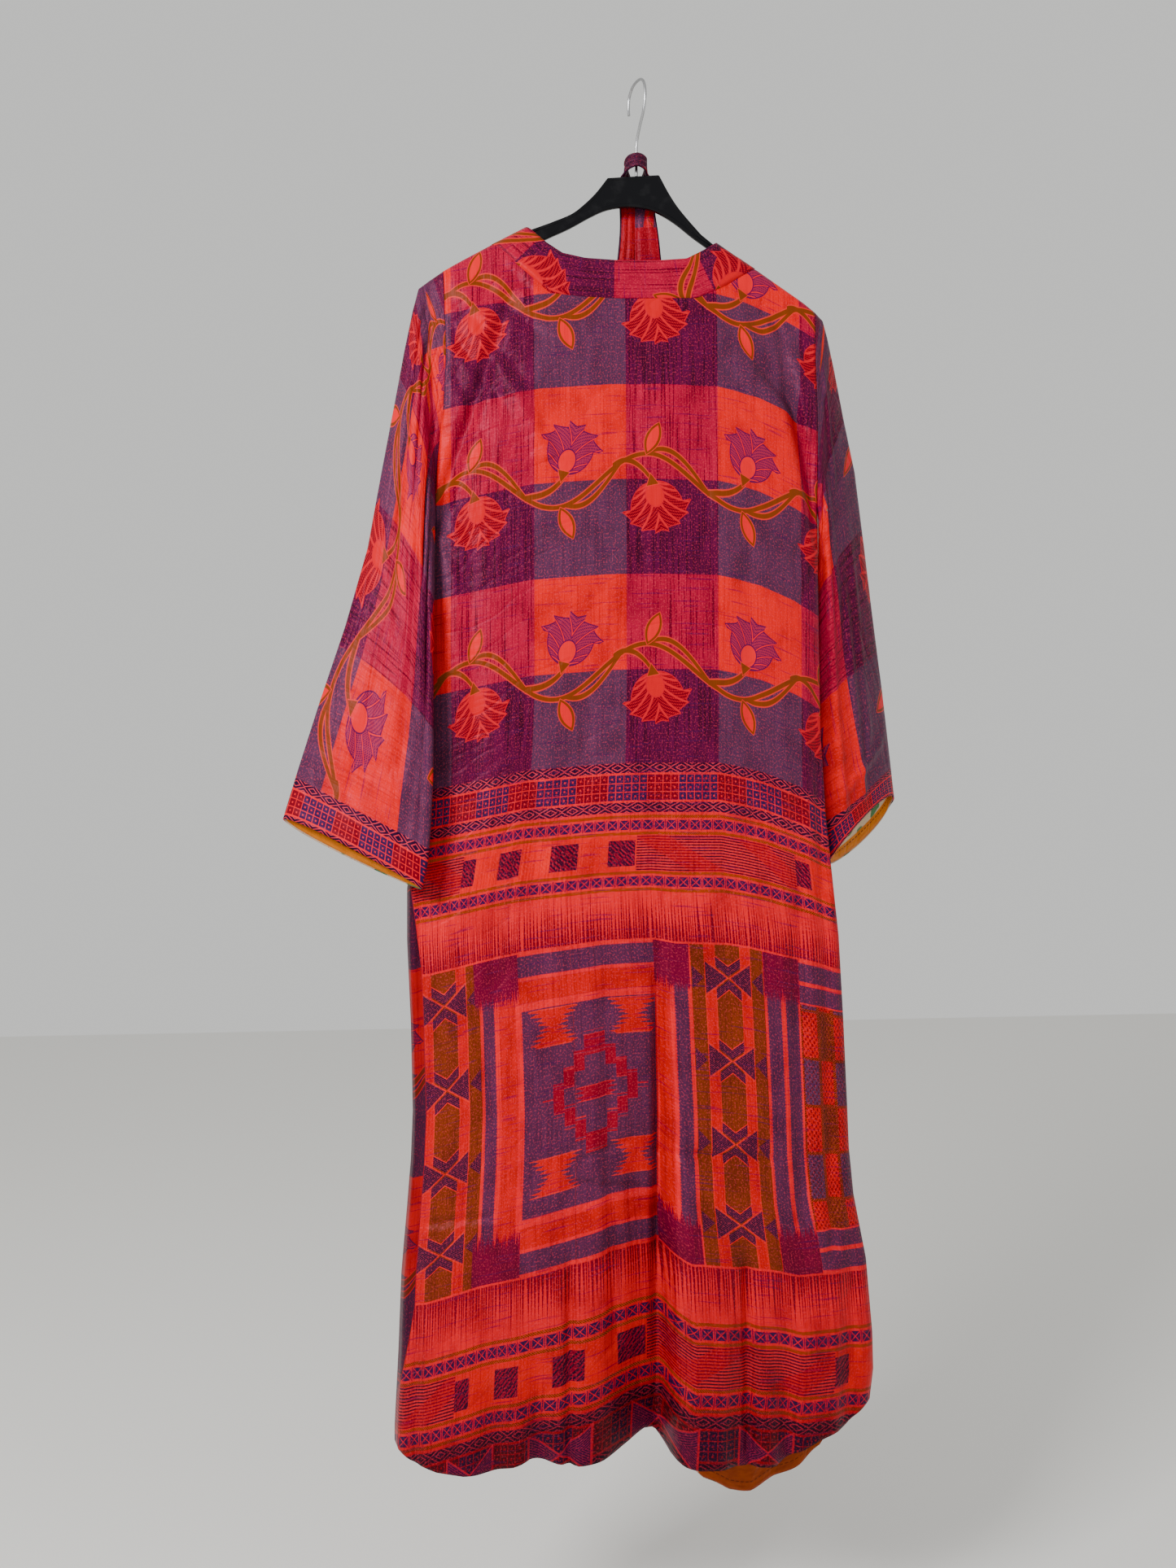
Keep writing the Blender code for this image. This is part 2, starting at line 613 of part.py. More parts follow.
def hanger_outline():
    """The moulded hanger's outline: plateau, arms under the cloth, and the arch below."""
    upper = [(x, z) for x, z in HANGER_UPPER[::-1]]
    left = [(x, shoulder(x) - HANGER_TOP_GAP) for x in (-0.204, -0.198, -0.160, -0.125)]
    right = [(x, shoulder(x) - HANGER_TOP_GAP) for x in (0.083, 0.125, 0.178, 0.187)]
    return left + upper + list(HANGER_UPPER_RIGHT) + right + list(HANGER_LOWER)[::-1]


def build_hanger(material):
    """One moulded plate with rounded edges."""
    work = bmesh.new()
    outline = hanger_outline()
    face = work.faces.new([work.verts.new((x, -HANGER_THICK / 2.0, z)) for x, z in outline])
    grown = bmesh.ops.extrude_face_region(work, geom=[face])
    moved = [item for item in grown["geom"] if isinstance(item, bmesh.types.BMVert)]
    bmesh.ops.translate(work, verts=moved, vec=(0.0, HANGER_THICK, 0.0))
    bmesh.ops.recalc_face_normals(work, faces=work.faces)
    mesh = bpy.data.meshes.new("hanger")
    work.to_mesh(mesh)
    work.free()
    mesh.materials.append(material)
    hanger = bpy.data.objects.new("hanger", mesh)
    bpy.context.scene.collection.objects.link(hanger)
    bevel = hanger.modifiers.new("edge", "BEVEL")
    bevel.width = 0.0020
    bevel.segments = 2
    bevel.limit_method = "ANGLE"
    bevel.angle_limit = math.radians(60.0)


def build_hook(material):
    """The steel wire hook, swivelled until it is nearly edge-on."""
    foot_x, foot_y = HOOK_FOOT
    route = []
    for along, z in spline_points(HOOK_WIRE, 3):
        x = foot_x + along * math.cos(HOOK_SWIVEL)
        y = foot_y + along * math.sin(HOOK_SWIVEL)
        route.append((x, y, z))
    curve = bpy.data.curves.new("hook", "CURVE")
    curve.dimensions = "3D"
    curve.bevel_depth = WIRE_RADIUS
    curve.bevel_resolution = 2
    curve.use_fill_caps = True
    spline = curve.splines.new("POLY")
    spline.points.add(len(route) - 1)
    for point, place in zip(spline.points, route):
        point.co = (*place, 1.0)
    curve.materials.append(material)
    hook = bpy.data.objects.new("hook", curve)
    bpy.context.scene.collection.objects.link(hook)


def main():
    for item in list(bpy.data.objects):
        bpy.data.objects.remove(item)
    printed = finish("printed_silk", (0.62, 0.05, 0.06), 0.45)
    facing = finish("facing_silk", (0.44, 0.12, 0.01), 0.5)
    belt_silk = finish("belt_silk", (0.19, 0.03, 0.10), 0.45)
    plastic = finish("black_plastic", (0.01, 0.01, 0.012), 0.25)
    steel = finish("steel_wire", (0.45, 0.45, 0.46), 0.28, 1.0)
    build_back(printed)
    left_front = front_rows("left")
    right_front = front_rows("right")
    cloth_piece("left_front", left_front, CLOTH, printed)
    cloth_piece("right_front", right_front, CLOTH, printed)
    build_band(printed)
    for side in ("left", "right"):
        build_sleeve(side, printed, facing)
    build_hem_facing(facing, right_front)
    build_belt(belt_silk)
    build_hanger(plastic)
    build_hook(steel)


main()
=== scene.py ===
"""The looks of a long printed silk kimono robe that hangs, back outwards, on a moulded hanger."""
import math

import bpy
import numpy as np
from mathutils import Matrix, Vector, noise


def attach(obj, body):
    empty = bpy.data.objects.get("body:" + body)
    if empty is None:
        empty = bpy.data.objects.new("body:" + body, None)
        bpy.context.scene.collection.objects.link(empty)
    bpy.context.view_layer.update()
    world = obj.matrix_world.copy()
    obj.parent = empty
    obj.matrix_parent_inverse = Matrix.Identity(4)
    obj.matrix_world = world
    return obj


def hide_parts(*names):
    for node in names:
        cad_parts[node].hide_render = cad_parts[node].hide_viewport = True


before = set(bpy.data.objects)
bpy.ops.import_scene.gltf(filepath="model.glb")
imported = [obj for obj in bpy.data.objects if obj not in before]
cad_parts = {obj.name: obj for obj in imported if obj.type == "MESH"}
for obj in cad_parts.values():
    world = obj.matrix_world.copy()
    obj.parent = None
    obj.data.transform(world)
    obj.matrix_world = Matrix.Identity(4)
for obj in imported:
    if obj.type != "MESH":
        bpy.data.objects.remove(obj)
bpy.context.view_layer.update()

# Camera. It stands a little left of the robe, level with the waist, and is turned 7 degrees
# to the right, so the shoulders are seen from below and the hem from above.
lens = bpy.data.cameras.new("camera")
lens.lens = 34.076
lens.sensor_width = 36.0
camera = bpy.data.objects.new("camera", lens)
camera.location = (-0.2511, -1.5812, -0.7548)
camera.rotation_euler = (math.radians(90.0), 0.0, math.radians(-7.0))
bpy.context.scene.collection.objects.link(camera)
bpy.context.scene.camera = camera


# Back panel. One width of printed silk over a thin lining, sewn to the sleeves, the fronts
# and the neck band. It hangs from the hanger's arms in a few long folds.
SHOULDER = np.array((
    # x, z
    (-0.240, -0.230), (-0.227, -0.222), (-0.198, -0.204), (-0.160, -0.182),
    (-0.120, -0.160), (0.080, -0.168), (0.125, -0.196), (0.178, -0.230),
    (0.195, -0.243), (0.210, -0.256),
))
OUTLINE = np.array((
    # z, left x, right x
    (-1.540, -0.263, 0.246), (-1.430, -0.262, 0.252), (-1.390, -0.260, 0.257),
    (-1.350, -0.258, 0.256), (-1.270, -0.255, 0.249), (-1.200, -0.249, 0.235),
    (-1.150, -0.245, 0.230), (-1.100, -0.243, 0.228), (-1.010, -0.245, 0.224),
    (-0.920, -0.249, 0.219), (-0.865, -0.249, 0.213), (-0.790, -0.238, 0.205),
    (-0.700, -0.231, 0.199), (-0.600, -0.228, 0.197), (-0.450, -0.222, 0.195),
    (-0.360, -0.212, 0.193), (-0.300, -0.209, 0.191), (-0.200, -0.212, 0.191),
))
DEPTH = np.array((
    # drop below the shoulder, back, front
    (0.000, 0.008, 0.008), (0.030, 0.013, 0.012), (0.080, 0.020, 0.016),
    (0.200, 0.026, 0.020), (0.500, 0.032, 0.026), (0.800, 0.037, 0.032),
    (1.050, 0.042, 0.038), (1.250, 0.046, 0.042), (1.400, 0.048, 0.044),
))
NECK_SEAM = np.array((
    # seam x, seam z, free-edge x, free-edge z
    (-0.160, -0.182, -0.124, -0.162), (-0.128, -0.211, -0.103, -0.180),
    (-0.100, -0.236, -0.086, -0.191), (-0.070, -0.2385, -0.062, -0.1955),
    (-0.029, -0.239, -0.028, -0.1965), (0.020, -0.237, 0.018, -0.1945),
    (0.058, -0.235, 0.048, -0.191), (0.090, -0.219, 0.066, -0.181),
    (0.125, -0.196, 0.083, -0.170),
))
HEM_BACK = np.array((
    # x, z
    (-0.264, -1.444), (-0.245, -1.458), (-0.217, -1.468), (-0.189, -1.472),
    (-0.163, -1.470), (-0.137, -1.464), (-0.119, -1.457), (-0.094, -1.460),
    (-0.070, -1.463), (-0.041, -1.460), (-0.012, -1.453), (0.007, -1.446),
    (0.018, -1.447), (0.034, -1.464), (0.048, -1.472), (0.110, -1.477),
    (0.147, -1.479), (0.173, -1.465), (0.195, -1.455), (0.225, -1.446),
    (0.240, -1.434), (0.258, -1.418),
))
BACK_FOLDS = (
    # top x, top z, low x, low z, width left, width right, depth at top, depth at low end
    (0.010, -0.860, 0.016, -1.480, 0.075, 0.022, 0.002, 0.044),
    (0.050, -1.000, 0.062, -1.480, 0.030, 0.060, 0.000, -0.008),
    (-0.080, -1.150, -0.070, -1.480, 0.050, 0.050, 0.000, -0.006),
    (-0.045, -0.930, -0.036, -1.230, 0.014, 0.014, 0.003, 0.004),
    (0.166, -0.720, 0.170, -1.080, 0.018, 0.014, 0.003, 0.006),
    (0.195, -0.760, 0.202, -1.120, 0.012, 0.012, 0.002, 0.005),
    (0.104, -1.250, 0.098, -1.480, 0.022, 0.022, 0.001, 0.008),
    (0.150, -1.270, 0.152, -1.480, 0.022, 0.018, 0.002, 0.010),
    (0.226, -1.230, 0.222, -1.440, 0.018, 0.018, 0.003, 0.007),
    (-0.165, -1.280, -0.160, -1.470, 0.026, 0.024, 0.001, 0.008),
    (-0.118, -1.300, -0.112, -1.460, 0.022, 0.022, 0.001, 0.010),
    (-0.234, -0.850, -0.240, -1.330, 0.012, 0.010, 0.010, 0.004),
    (-0.196, -0.225, -0.128, -0.360, 0.018, 0.018, -0.003, -0.004),
    (0.118, -0.240, 0.186, -0.400, 0.018, 0.018, 0.004, 0.004),
    (0.148, -0.255, 0.184, -0.430, 0.014, 0.012, 0.005, 0.013),
    (-0.140, -0.235, -0.200, -0.420, 0.014, 0.014, 0.005, 0.010),
)
# Small creases that the solid leaves out.
BACK_CREASES = (
    # from x, z, to x, z, half width, depth
    (0.014, -0.960, 0.022, -1.490, 0.006, 0.0150),
    (0.040, -1.060, 0.052, -1.490, 0.008, -0.0040),
    (-0.080, -1.250, -0.082, -1.490, 0.006, 0.0090),
    (0.108, -1.250, 0.112, -1.490, 0.006, 0.0090),
    (0.010, -1.143, 0.145, -1.155, 0.0045, 0.0050),
    (-0.085, -1.170, 0.005, -1.186, 0.0045, 0.0046),
    (-0.235, -1.214, -0.160, -1.204, 0.0045, 0.0046),
    (-0.075, -1.150, -0.010, -1.130, 0.0045, 0.0030),
    (0.020, -1.128, 0.060, -1.146, 0.0045, 0.0028),
    (-0.190, -0.250, -0.130, -0.330, 0.007, 0.0034),
    (-0.205, -0.275, -0.150, -0.355, 0.006, 0.0030),
    (-0.176, -0.222, -0.105, -0.285, 0.007, 0.0028),
    (-0.200, -0.318, -0.168, -0.392, 0.005, 0.0024),
    (-0.150, -0.205, -0.118, -0.236, 0.005, 0.0022),
    (0.095, -0.262, 0.165, -0.345, 0.008, 0.0034),
    (0.120, -0.300, 0.186, -0.372, 0.006, 0.0028),
    (0.110, -0.222, 0.178, -0.292, 0.006, 0.0030),
    (0.150, -0.242, 0.190, -0.300, 0.005, 0.0024),
    (0.085, -0.300, 0.130, -0.368, 0.006, 0.0018),
    (-0.212, -0.452, -0.180, -0.500, 0.006, 0.0030),
    (-0.213, -0.490, -0.188, -0.545, 0.005, 0.0022),
    (0.192, -0.460, 0.160, -0.520, 0.006, 0.0028),
    (0.194, -0.510, 0.168, -0.570, 0.005, 0.0020),
    (-0.070, -0.640, -0.064, -0.760, 0.010, 0.0022),
    (-0.185, -0.500, -0.178, -0.760, 0.009, 0.0024),
    (0.110, -0.480, 0.118, -0.800, 0.010, 0.0022),
    (-0.120, -0.700, -0.112, -1.000, 0.012, 0.0026),
    (0.086, -0.820, 0.092, -1.120, 0.012, 0.0028),
    (-0.010, -0.300, -0.004, -0.560, 0.012, 0.0018),
    (0.060, -0.300, 0.074, -0.600, 0.010, 0.0020),
    (-0.155, -0.860, -0.168, -1.120, 0.010, 0.0022),
    (0.188, -0.640, 0.196, -0.900, 0.007, 0.0026),
    (-0.218, -0.900, -0.226, -1.180, 0.007, 0.0024),
)
BACK_SHARE_CLOTH = np.array((
    # share of the panel's width, place across the flat cloth at the skirt
    (0.000, -0.040), (0.071, 0.000), (0.242, 0.100), (0.478, 0.200), (0.717, 0.300),
    (0.934, 0.400), (1.000, 0.432),
))
BACK_X_CLOTH = np.array((
    # x, place across the flat cloth in the upper part
    (-0.2400, -0.037), (-0.2041, 0.000), (-0.1172, 0.100), (-0.0198, 0.200), (0.0795, 0.300),
    (0.1720, 0.400), (0.2050, 0.434),
))
BACK_BOW = np.array((
    # share of the panel's width, drop of the print's rows in the upper part, and at the skirt
    (0.000, 0.031, 0.059), (0.158, 0.017, 0.033), (0.2455, 0.009, 0.024), (0.431, 0.002, 0.002),
    (0.480, 0.001, 0.000), (0.553, 0.000, 0.000), (0.600, 0.000, 0.015), (0.720, 0.000, 0.024),
    (0.770, 0.004, 0.027), (0.830, 0.010, 0.035), (0.926, 0.026, 0.035), (0.983, 0.039, 0.036),
    (1.000, 0.042, 0.036),
))
# Metres, apart from EDGE_POWER, SIDE_COLUMN, BEND_ROWS and CREASE_FADE, the share of a crease in
# which it dies out. SEAM is half the gap where two edges meet, and RIDGE_SEAM the same in depth.
# The first BEND_ROWS of a panel's rows, as a share of them all, cover its first BEND_DROP.
SEAM = 0.0005
RIDGE_SEAM = 0.0001
RIDGE_RADIUS = 0.008
EDGE_POWER = 3.2
ARMHOLE_LOW = {"left": -0.448, "right": -0.450}
SIDE_COLUMN = {"left": 1, "right": 2}
BACK_TOP_LEFT = -0.2115
BACK_TOP_RIGHT = 0.1905
HEM_LEFT = -0.260
HEM_WIDTH = 0.517
BEND_ROWS = 0.03
BEND_DROP = 0.02
CREASE_FADE = 0.25
WALL = 0.0018


def column(table, key, place):
    """One column of a table at a key from its first column, straight between its rows."""
    return np.interp(key, table[:, 0], table[:, place])


def ease(share):
    """A soft step from 0 to 1."""
    share = np.clip(share, 0.0, 1.0)
    return share * share * (3.0 - 2.0 * share)


def shoulder(x):
    """Height of the cloth's upper edge over the hanger's arms."""
    return column(SHOULDER, x, 1)


def ridge_bend(drop):
    """How far the cloth has come off the hanger's edge after a drop."""
    share = np.clip(drop / RIDGE_RADIUS, 0.0, 1.0)
    return RIDGE_RADIUS * np.sqrt(1.0 - (1.0 - share) ** 2)


def armhole_half(drop, side):
    """Half the width of the armhole at a drop below the shoulder, and none below it."""
    top = shoulder(OUTLINE[-1][SIDE_COLUMN[side]])
    share = np.clip(drop / (top - ARMHOLE_LOW[side]), 0.0, 1.0)
    close = np.sqrt(np.clip(1.0 - np.maximum(0.0, (share - 0.45) / 0.55) ** 2, 0.0, 1.0))
    return ridge_bend(drop) * (1.0 + 0.5 * np.sin(math.pi * share)) * close


def fold_depth(x, z, folds):
    """The sum of the long folds that cross each point."""
    total = np.zeros_like(x)
    for top_x, top_z, low_x, low_z, left, right, top_depth, low_depth in folds:
        along = (top_z - z) / (top_z - low_z)
        centre = top_x + (low_x - top_x) * along
        width = np.where(x < centre, left, right)
        across = np.clip(np.abs(x - centre) / width, 0.0, 1.0)
        bell = 0.5 + 0.5 * np.cos(math.pi * across)
        fade = ease((along + 0.15) / 0.30) * (along < 1.4)
        total += (top_depth + (low_depth - top_depth) * ease(along)) * bell * fade
    return total


def crease_depth(x, z, creases):
    """The sum of the small creases, each a soft trough that dies out at both ends."""
    total = np.zeros_like(x)
    for from_x, from_z, to_x, to_z, half, depth in creases:
        run = np.array((to_x - from_x, to_z - from_z))
        length = np.linalg.norm(run)
        run /= length
        along = ((x - from_x) * run[0] + (z - from_z) * run[1]) / length
        across = np.abs((x - from_x) * run[1] - (z - from_z) * run[0]) / half
        fade = ease(along / CREASE_FADE + 0.4) * ease((1.0 - along) / CREASE_FADE + 0.4)
        total += depth * np.exp(-across * across) * fade
    return total


def ripple(x, z, seed, wide, tall):
    """Slow uneven waves of hanging cloth, from -1 to 1."""
    found = [noise.noise(Vector((a / wide, b / tall, seed))) for a, b in zip(x, z)]
    return np.array(found)


def body_depth(x, z, back):
    """How far the robe's wall stands out from the hanger's plane at x and z."""
    left_x = column(OUTLINE, z, 1)
    right_x = column(OUTLINE, z, 2)
    across = (2.0 * x - left_x - right_x) / (right_x - left_x - 2.0 * SEAM)
    across = np.clip(across, -1.0, 1.0)
    drop = np.maximum(shoulder(x) - z, 0.0)
    edge = np.where(across < 0.0, armhole_half(drop, "left"), armhole_half(drop, "right"))
    body = column(DEPTH, drop, 1 if back else 2) * ridge_bend(drop) / RIDGE_RADIUS
    crown = (1.0 - np.abs(across) ** EDGE_POWER) ** (1.0 / EDGE_POWER)
    crown += (1.0 - across ** 6 - crown) * np.minimum(edge / RIDGE_RADIUS, 1.0)
    depth = edge + (body - edge) * crown
    calm = np.minimum(1.0, (1.0 - np.abs(across)) / 0.04) * ease(drop / 0.03)
    return depth, calm


def cloth_grid(name, columns, rows, place):
    """A flat grid laid out as the piece hangs; place gives its points and its flat cloth."""
    bpy.ops.object.select_all(action="DESELECT")
    bpy.ops.mesh.primitive_grid_add(x_subdivisions=columns, y_subdivisions=rows, size=1.0)
    sheet = bpy.context.object
    sheet.name = name
    mesh = sheet.data
    mesh.name = name
    flat = np.zeros(len(mesh.vertices) * 3)
    mesh.vertices.foreach_get("co", flat)
    points, cloth = place(flat[0::3] + 0.5, 0.5 - flat[1::3])
    mesh.vertices.foreach_set("co", np.stack(points, axis=1).ravel())
    corners = np.zeros(len(mesh.loops), dtype=np.int32)
    mesh.loops.foreach_get("vertex_index", corners)
    mesh.uv_layers[0].name = "cloth"
    mesh.uv_layers["cloth"].data.foreach_set("uv", np.stack(cloth, axis=1)[corners].ravel())
    mesh.update()
    bpy.ops.object.shade_smooth()
    return sheet


def give_wall(sheet, thickness, outer, inner):
    """Turns a sheet into a wall, printed outside and lined inside."""
    sheet.data.materials.append(outer)
    sheet.data.materials.append(inner)
    wall = sheet.modifiers.new("wall", "SOLIDIFY")
    wall.thickness = thickness
    wall.offset = 0.0
    wall.material_offset = 1
    wall.material_offset_rim = 0
    bpy.context.view_layer.objects.active = sheet
    bpy.ops.object.modifier_apply(modifier="wall")


def row_drops(down, full):
    """Rows from the upper edge to the hem, crowded where the cloth bends over the hanger."""
    bent = BEND_DROP * (down / BEND_ROWS) ** 2
    hung = BEND_DROP + (full - BEND_DROP) * (down - BEND_ROWS) / (1.0 - BEND_ROWS)
    return np.where(down < BEND_ROWS, bent, hung)


def back_place(share, down):
    """The back panel's points, and where each lies on the flat cloth."""
    share = share - 0.035 * np.sin(2.0 * math.pi * share) / math.pi
    x_top = BACK_TOP_LEFT + (BACK_TOP_RIGHT - BACK_TOP_LEFT) * share
    in_neck = (x_top > NECK_SEAM[0][0]) & (x_top < NECK_SEAM[-1][0])
    z_top = np.where(in_neck, column(NECK_SEAM, x_top, 1), shoulder(x_top))
    z_low = column(HEM_BACK, HEM_LEFT + HEM_WIDTH * share, 1)
    z = z_top - row_drops(down, z_top - z_low)
    left_x = column(OUTLINE, z, 1) + SEAM
    right_x = column(OUTLINE, z, 2) - SEAM
    left_top = column(OUTLINE, z_top, 1) + SEAM
    right_top = column(OUTLINE, z_top, 2) - SEAM
    shift = x_top - left_top - (right_top - left_top) * share
    x = left_x + (right_x - left_x) * share + shift
    depth, calm = body_depth(x, z, True)
    depth -= calm * fold_depth(x, z, BACK_FOLDS)
    depth -= calm * crease_depth(x, z, BACK_CREASES)
    depth += calm * ease((shoulder(x) - z) / 0.15) * 0.0016 * ripple(x, z, 3.0, 0.045, 0.19)
    y = np.minimum(-depth, -RIDGE_SEAM)
    skirt = ease((-z - 0.62) / 0.30)
    across = column(BACK_X_CLOTH, x, 1) * (1.0 - skirt)
    across += column(BACK_SHARE_CLOTH, share, 1) * skirt
    low = ease((-z - 0.75) / 0.5)
    bow = column(BACK_BOW, share, 1) * (1.0 - low) + column(BACK_BOW, share, 2) * low
    return (x, y, z), (across, -z - bow)


def dye(red, green, blue):
    """A colour as a screen shows it, turned into light."""
    return tuple((part / 255.0) ** 2.2 for part in (red, green, blue)) + (1.0,)


class Shade:
    """A value that varies over the cloth. Arithmetic on it adds Math nodes."""

    def __init__(self, tree, socket):
        self.tree = tree
        self.socket = socket

    def node(self, kind, settings, sockets, out=0):
        """Any other node: its settings first, then the values or links of its sockets."""
        made = self.tree.nodes.new(kind)
        for key, value in settings.items():
            setattr(made, key, value)
        for place, value in sockets.items():
            if isinstance(value, Shade):
                self.tree.links.new(value.socket, made.inputs[place])
            else:
                made.inputs[place].default_value = value
        return Shade(self.tree, made.outputs[out])

    def math(self, operation, *others, clamp=False):
        settings = {"operation": operation, "use_clamp": clamp}
        return self.node("ShaderNodeMath", settings, dict(enumerate((self, *others))))

    def __add__(self, other):
        return self.math("ADD", other)

    __radd__ = __add__

    def __mul__(self, other):
        return self.math("MULTIPLY", other)

    __rmul__ = __mul__

    def __sub__(self, other):
        return self.math("SUBTRACT", other)

    def __rsub__(self, other):
        return self.math("MULTIPLY_ADD", -1.0, other)

    def __truediv__(self, other):
        return self.math("DIVIDE", other)

    def __abs__(self):
        return self.math("ABSOLUTE")

    def least(self, other):
        return self.math("MINIMUM", other)

    def most(self, other):
        return self.math("MAXIMUM", other)

    def sine(self):
        return self.math("SINE")

    def cosine(self):
        return self.math("COSINE")

    def fract(self):
        return self.math("FRACT")

    def above(self, edge, soft):
        """1 where this is above the edge, with a soft change between."""
        return (self - edge).math("MULTIPLY_ADD", 1.0 / soft, 0.5, clamp=True)

    def below(self, edge, soft):
        """1 where this is below the edge."""
        return 1.0 - self.above(edge, soft)

    def within(self, low, high, soft):
        """1 between two edges."""
        return abs(self - (low + high) / 2.0).below((high - low) / 2.0, soft)

    def repeat(self, period):
        """The place inside a repeat, from 0 to the period."""
        return (self * (1.0 / period)).fract() * period

    def mix(self, low, high):
        """The colour low where this is 0 and high where it is 1."""
        sockets = {0: self, 6: low, 7: high}
        return self.node("ShaderNodeMix", {"data_type": "RGBA"}, sockets, out=2)

    def deepened(self, colour, share=1.0):
        """This colour multiplied by another, or a share of the way there."""
        settings = {"data_type": "RGBA", "blend_type": "MULTIPLY"}
        return self.node("ShaderNodeMix", settings, {0: share, 6: self, 7: colour}, out=2)

    def feed(self, socket):
        """Links this to a socket of the shader."""
        self.tree.links.new(self.socket, socket)

    def grain(self, other, wide, tall, detail=2.0):
        """Uneven grain over this and another direction, from 0 to 1."""
        place = self.node("ShaderNodeCombineXYZ", {}, {0: self / wide, 1: other / tall})
        sockets = {"Vector": place, "Scale": 1.0, "Detail": detail}
        return self.node("ShaderNodeTexNoise", {}, sockets)


ORANGE = dye(206, 5, 12)
CRIMSON = dye(156, 1, 48)
SLATE = dye(72, 42, 66)
PLUM = dye(77, 10, 51)
STEM = dye(108, 50, 12)
SALMON = dye(200, 44, 38)
CORAL = dye(208, 17, 29)
SCARLET = dye(182, 4, 10)
GARNET = dye(40, 8, 32)
LINE_RED = dye(202, 30, 22)
# Places on the flat cloth, in metres across it and down from its top.
REPEAT = 0.200
ROW_REPEAT = 0.202
FIRST_ROW = 0.330
BORDER_TOP = 0.732
BORDER_DEPTH = 0.187
BLOCK_MIDDLE = 0.095
PANEL_MIDDLE = 1.081


def slubs(u, p, ground, strength):
    """The uneven yarns: dark streaks along the warp, pale flecks and a few blue picks."""
    streak = u.grain(p, 0.0018, 0.090).above(0.56, 0.12) * strength
    cloud = u.grain(p, 0.030, 0.045, 3.0).above(0.58, 0.25) * 0.40
    pick = p.grain(u, 0.0020, 0.050, 1.0).above(0.655, 0.05) * 0.50
    fleck = u.grain(p, 0.0016, 0.0020, 1.0).above(0.60, 0.14) * 0.24
    deep = ground.deepened(dye(112, 84, 130))
    ground = cloud.mix(streak.mix(ground, deep), deep)
    return fleck.mix(pick.mix(ground, dye(50, 14, 62)), dye(218, 66, 80))


def stem_lines(u, q):
    """Distance from the vine's stems: a wave, its second strands and the flower stalks."""
    turn = 2.0 * math.pi / REPEAT
    peak = 0.022
    swing = 0.027
    wave = ((u - peak) * turn).cosine() * -swing
    slope = ((u - peak) * turn).sine() * (swing * turn)
    slope = (slope * slope + 1.0).math("SQRT")
    local = (u - peak).repeat(REPEAT)
    first = (local * (math.pi / 0.068)).sine().most(0.0) * local.within(0.0, 0.068, 0.001)
    second = ((local - 0.112) * (math.pi / 0.060)).sine() * local.within(0.112, 0.172, 0.001)
    line = abs(q - wave).least(abs(q - wave + first * 0.012))
    line = line.least(abs(q - wave - second * 0.012)) / slope
    stalk = (local - 0.066) / 0.045
    rise = abs(q - 0.014 + stalk * stalk * stalk * 0.020) / 1.35
    line = line.least(rise + (1.0 - stalk.within(0.0, 1.0, 0.02)) * 0.1)
    other = (u - 0.184).repeat(REPEAT)
    bend = (other - 0.016) / 0.026
    arch = abs(q + 0.020 - bend * bend * 0.019) / 1.25
    return line.least(arch + (1.0 - other.within(0.001, 0.042, 0.001)) * 0.1)


def past(u, at_u):
    """How far each place is past the nearest repeat of at_u."""
    return (u - at_u + REPEAT / 2.0).repeat(REPEAT) - REPEAT / 2.0


def leaf(u, q, at_u, at_q, reach, lean, half):
    """An almond leaf: how far inside its outline each place is."""
    x = past(u, at_u)
    y = q - at_q
    turn = math.atan2(lean, reach)
    along = (x * math.sin(turn) + y * math.cos(turn)) / math.hypot(lean, reach)
    across = abs(x * math.cos(turn) - y * math.sin(turn))
    middle = along * 2.0 - 1.0
    return (1.0 - middle * middle) * half - across


def flower(u, q, at_u, at_q, way, lean, shape):
    """A flower seen from its side: how far inside its edge, how near the line between two
    petals, its bud, its calyx, and the distance and angle from the calyx."""
    reach, drop, hook, rate, foot, taper, flick = shape
    x = past(u, at_u)
    y = (q - at_q) * way
    tall = x * math.sin(lean) + y * math.cos(lean)
    wide = x * math.cos(lean) - y * math.sin(lean)
    far = (x * x + y * y).math("SQRT")
    angle = abs(wide.math("ARCTAN2", tall))
    tip = (angle * rate + 0.5).fract()
    edge = tip * tip * hook + reach - angle * angle * drop - far
    mouth = (foot - far * taper).most(far * 20.0 + flick)
    inside = edge.least((mouth - angle) * far)
    petal = ((angle - (far - reach) * 9.0) * rate + 0.5).fract()
    line = (0.5 - abs(petal - 0.5)) * far / rate
    rise = tall - 0.0145
    bud = (wide * wide / 0.009 ** 2 + rise * rise / 0.012 ** 2).math("SQRT")
    calyx = (abs(wide) - (tall + 0.0085) * 0.52).most(tall - 0.0035)
    return inside, line, bud, calyx, far, angle


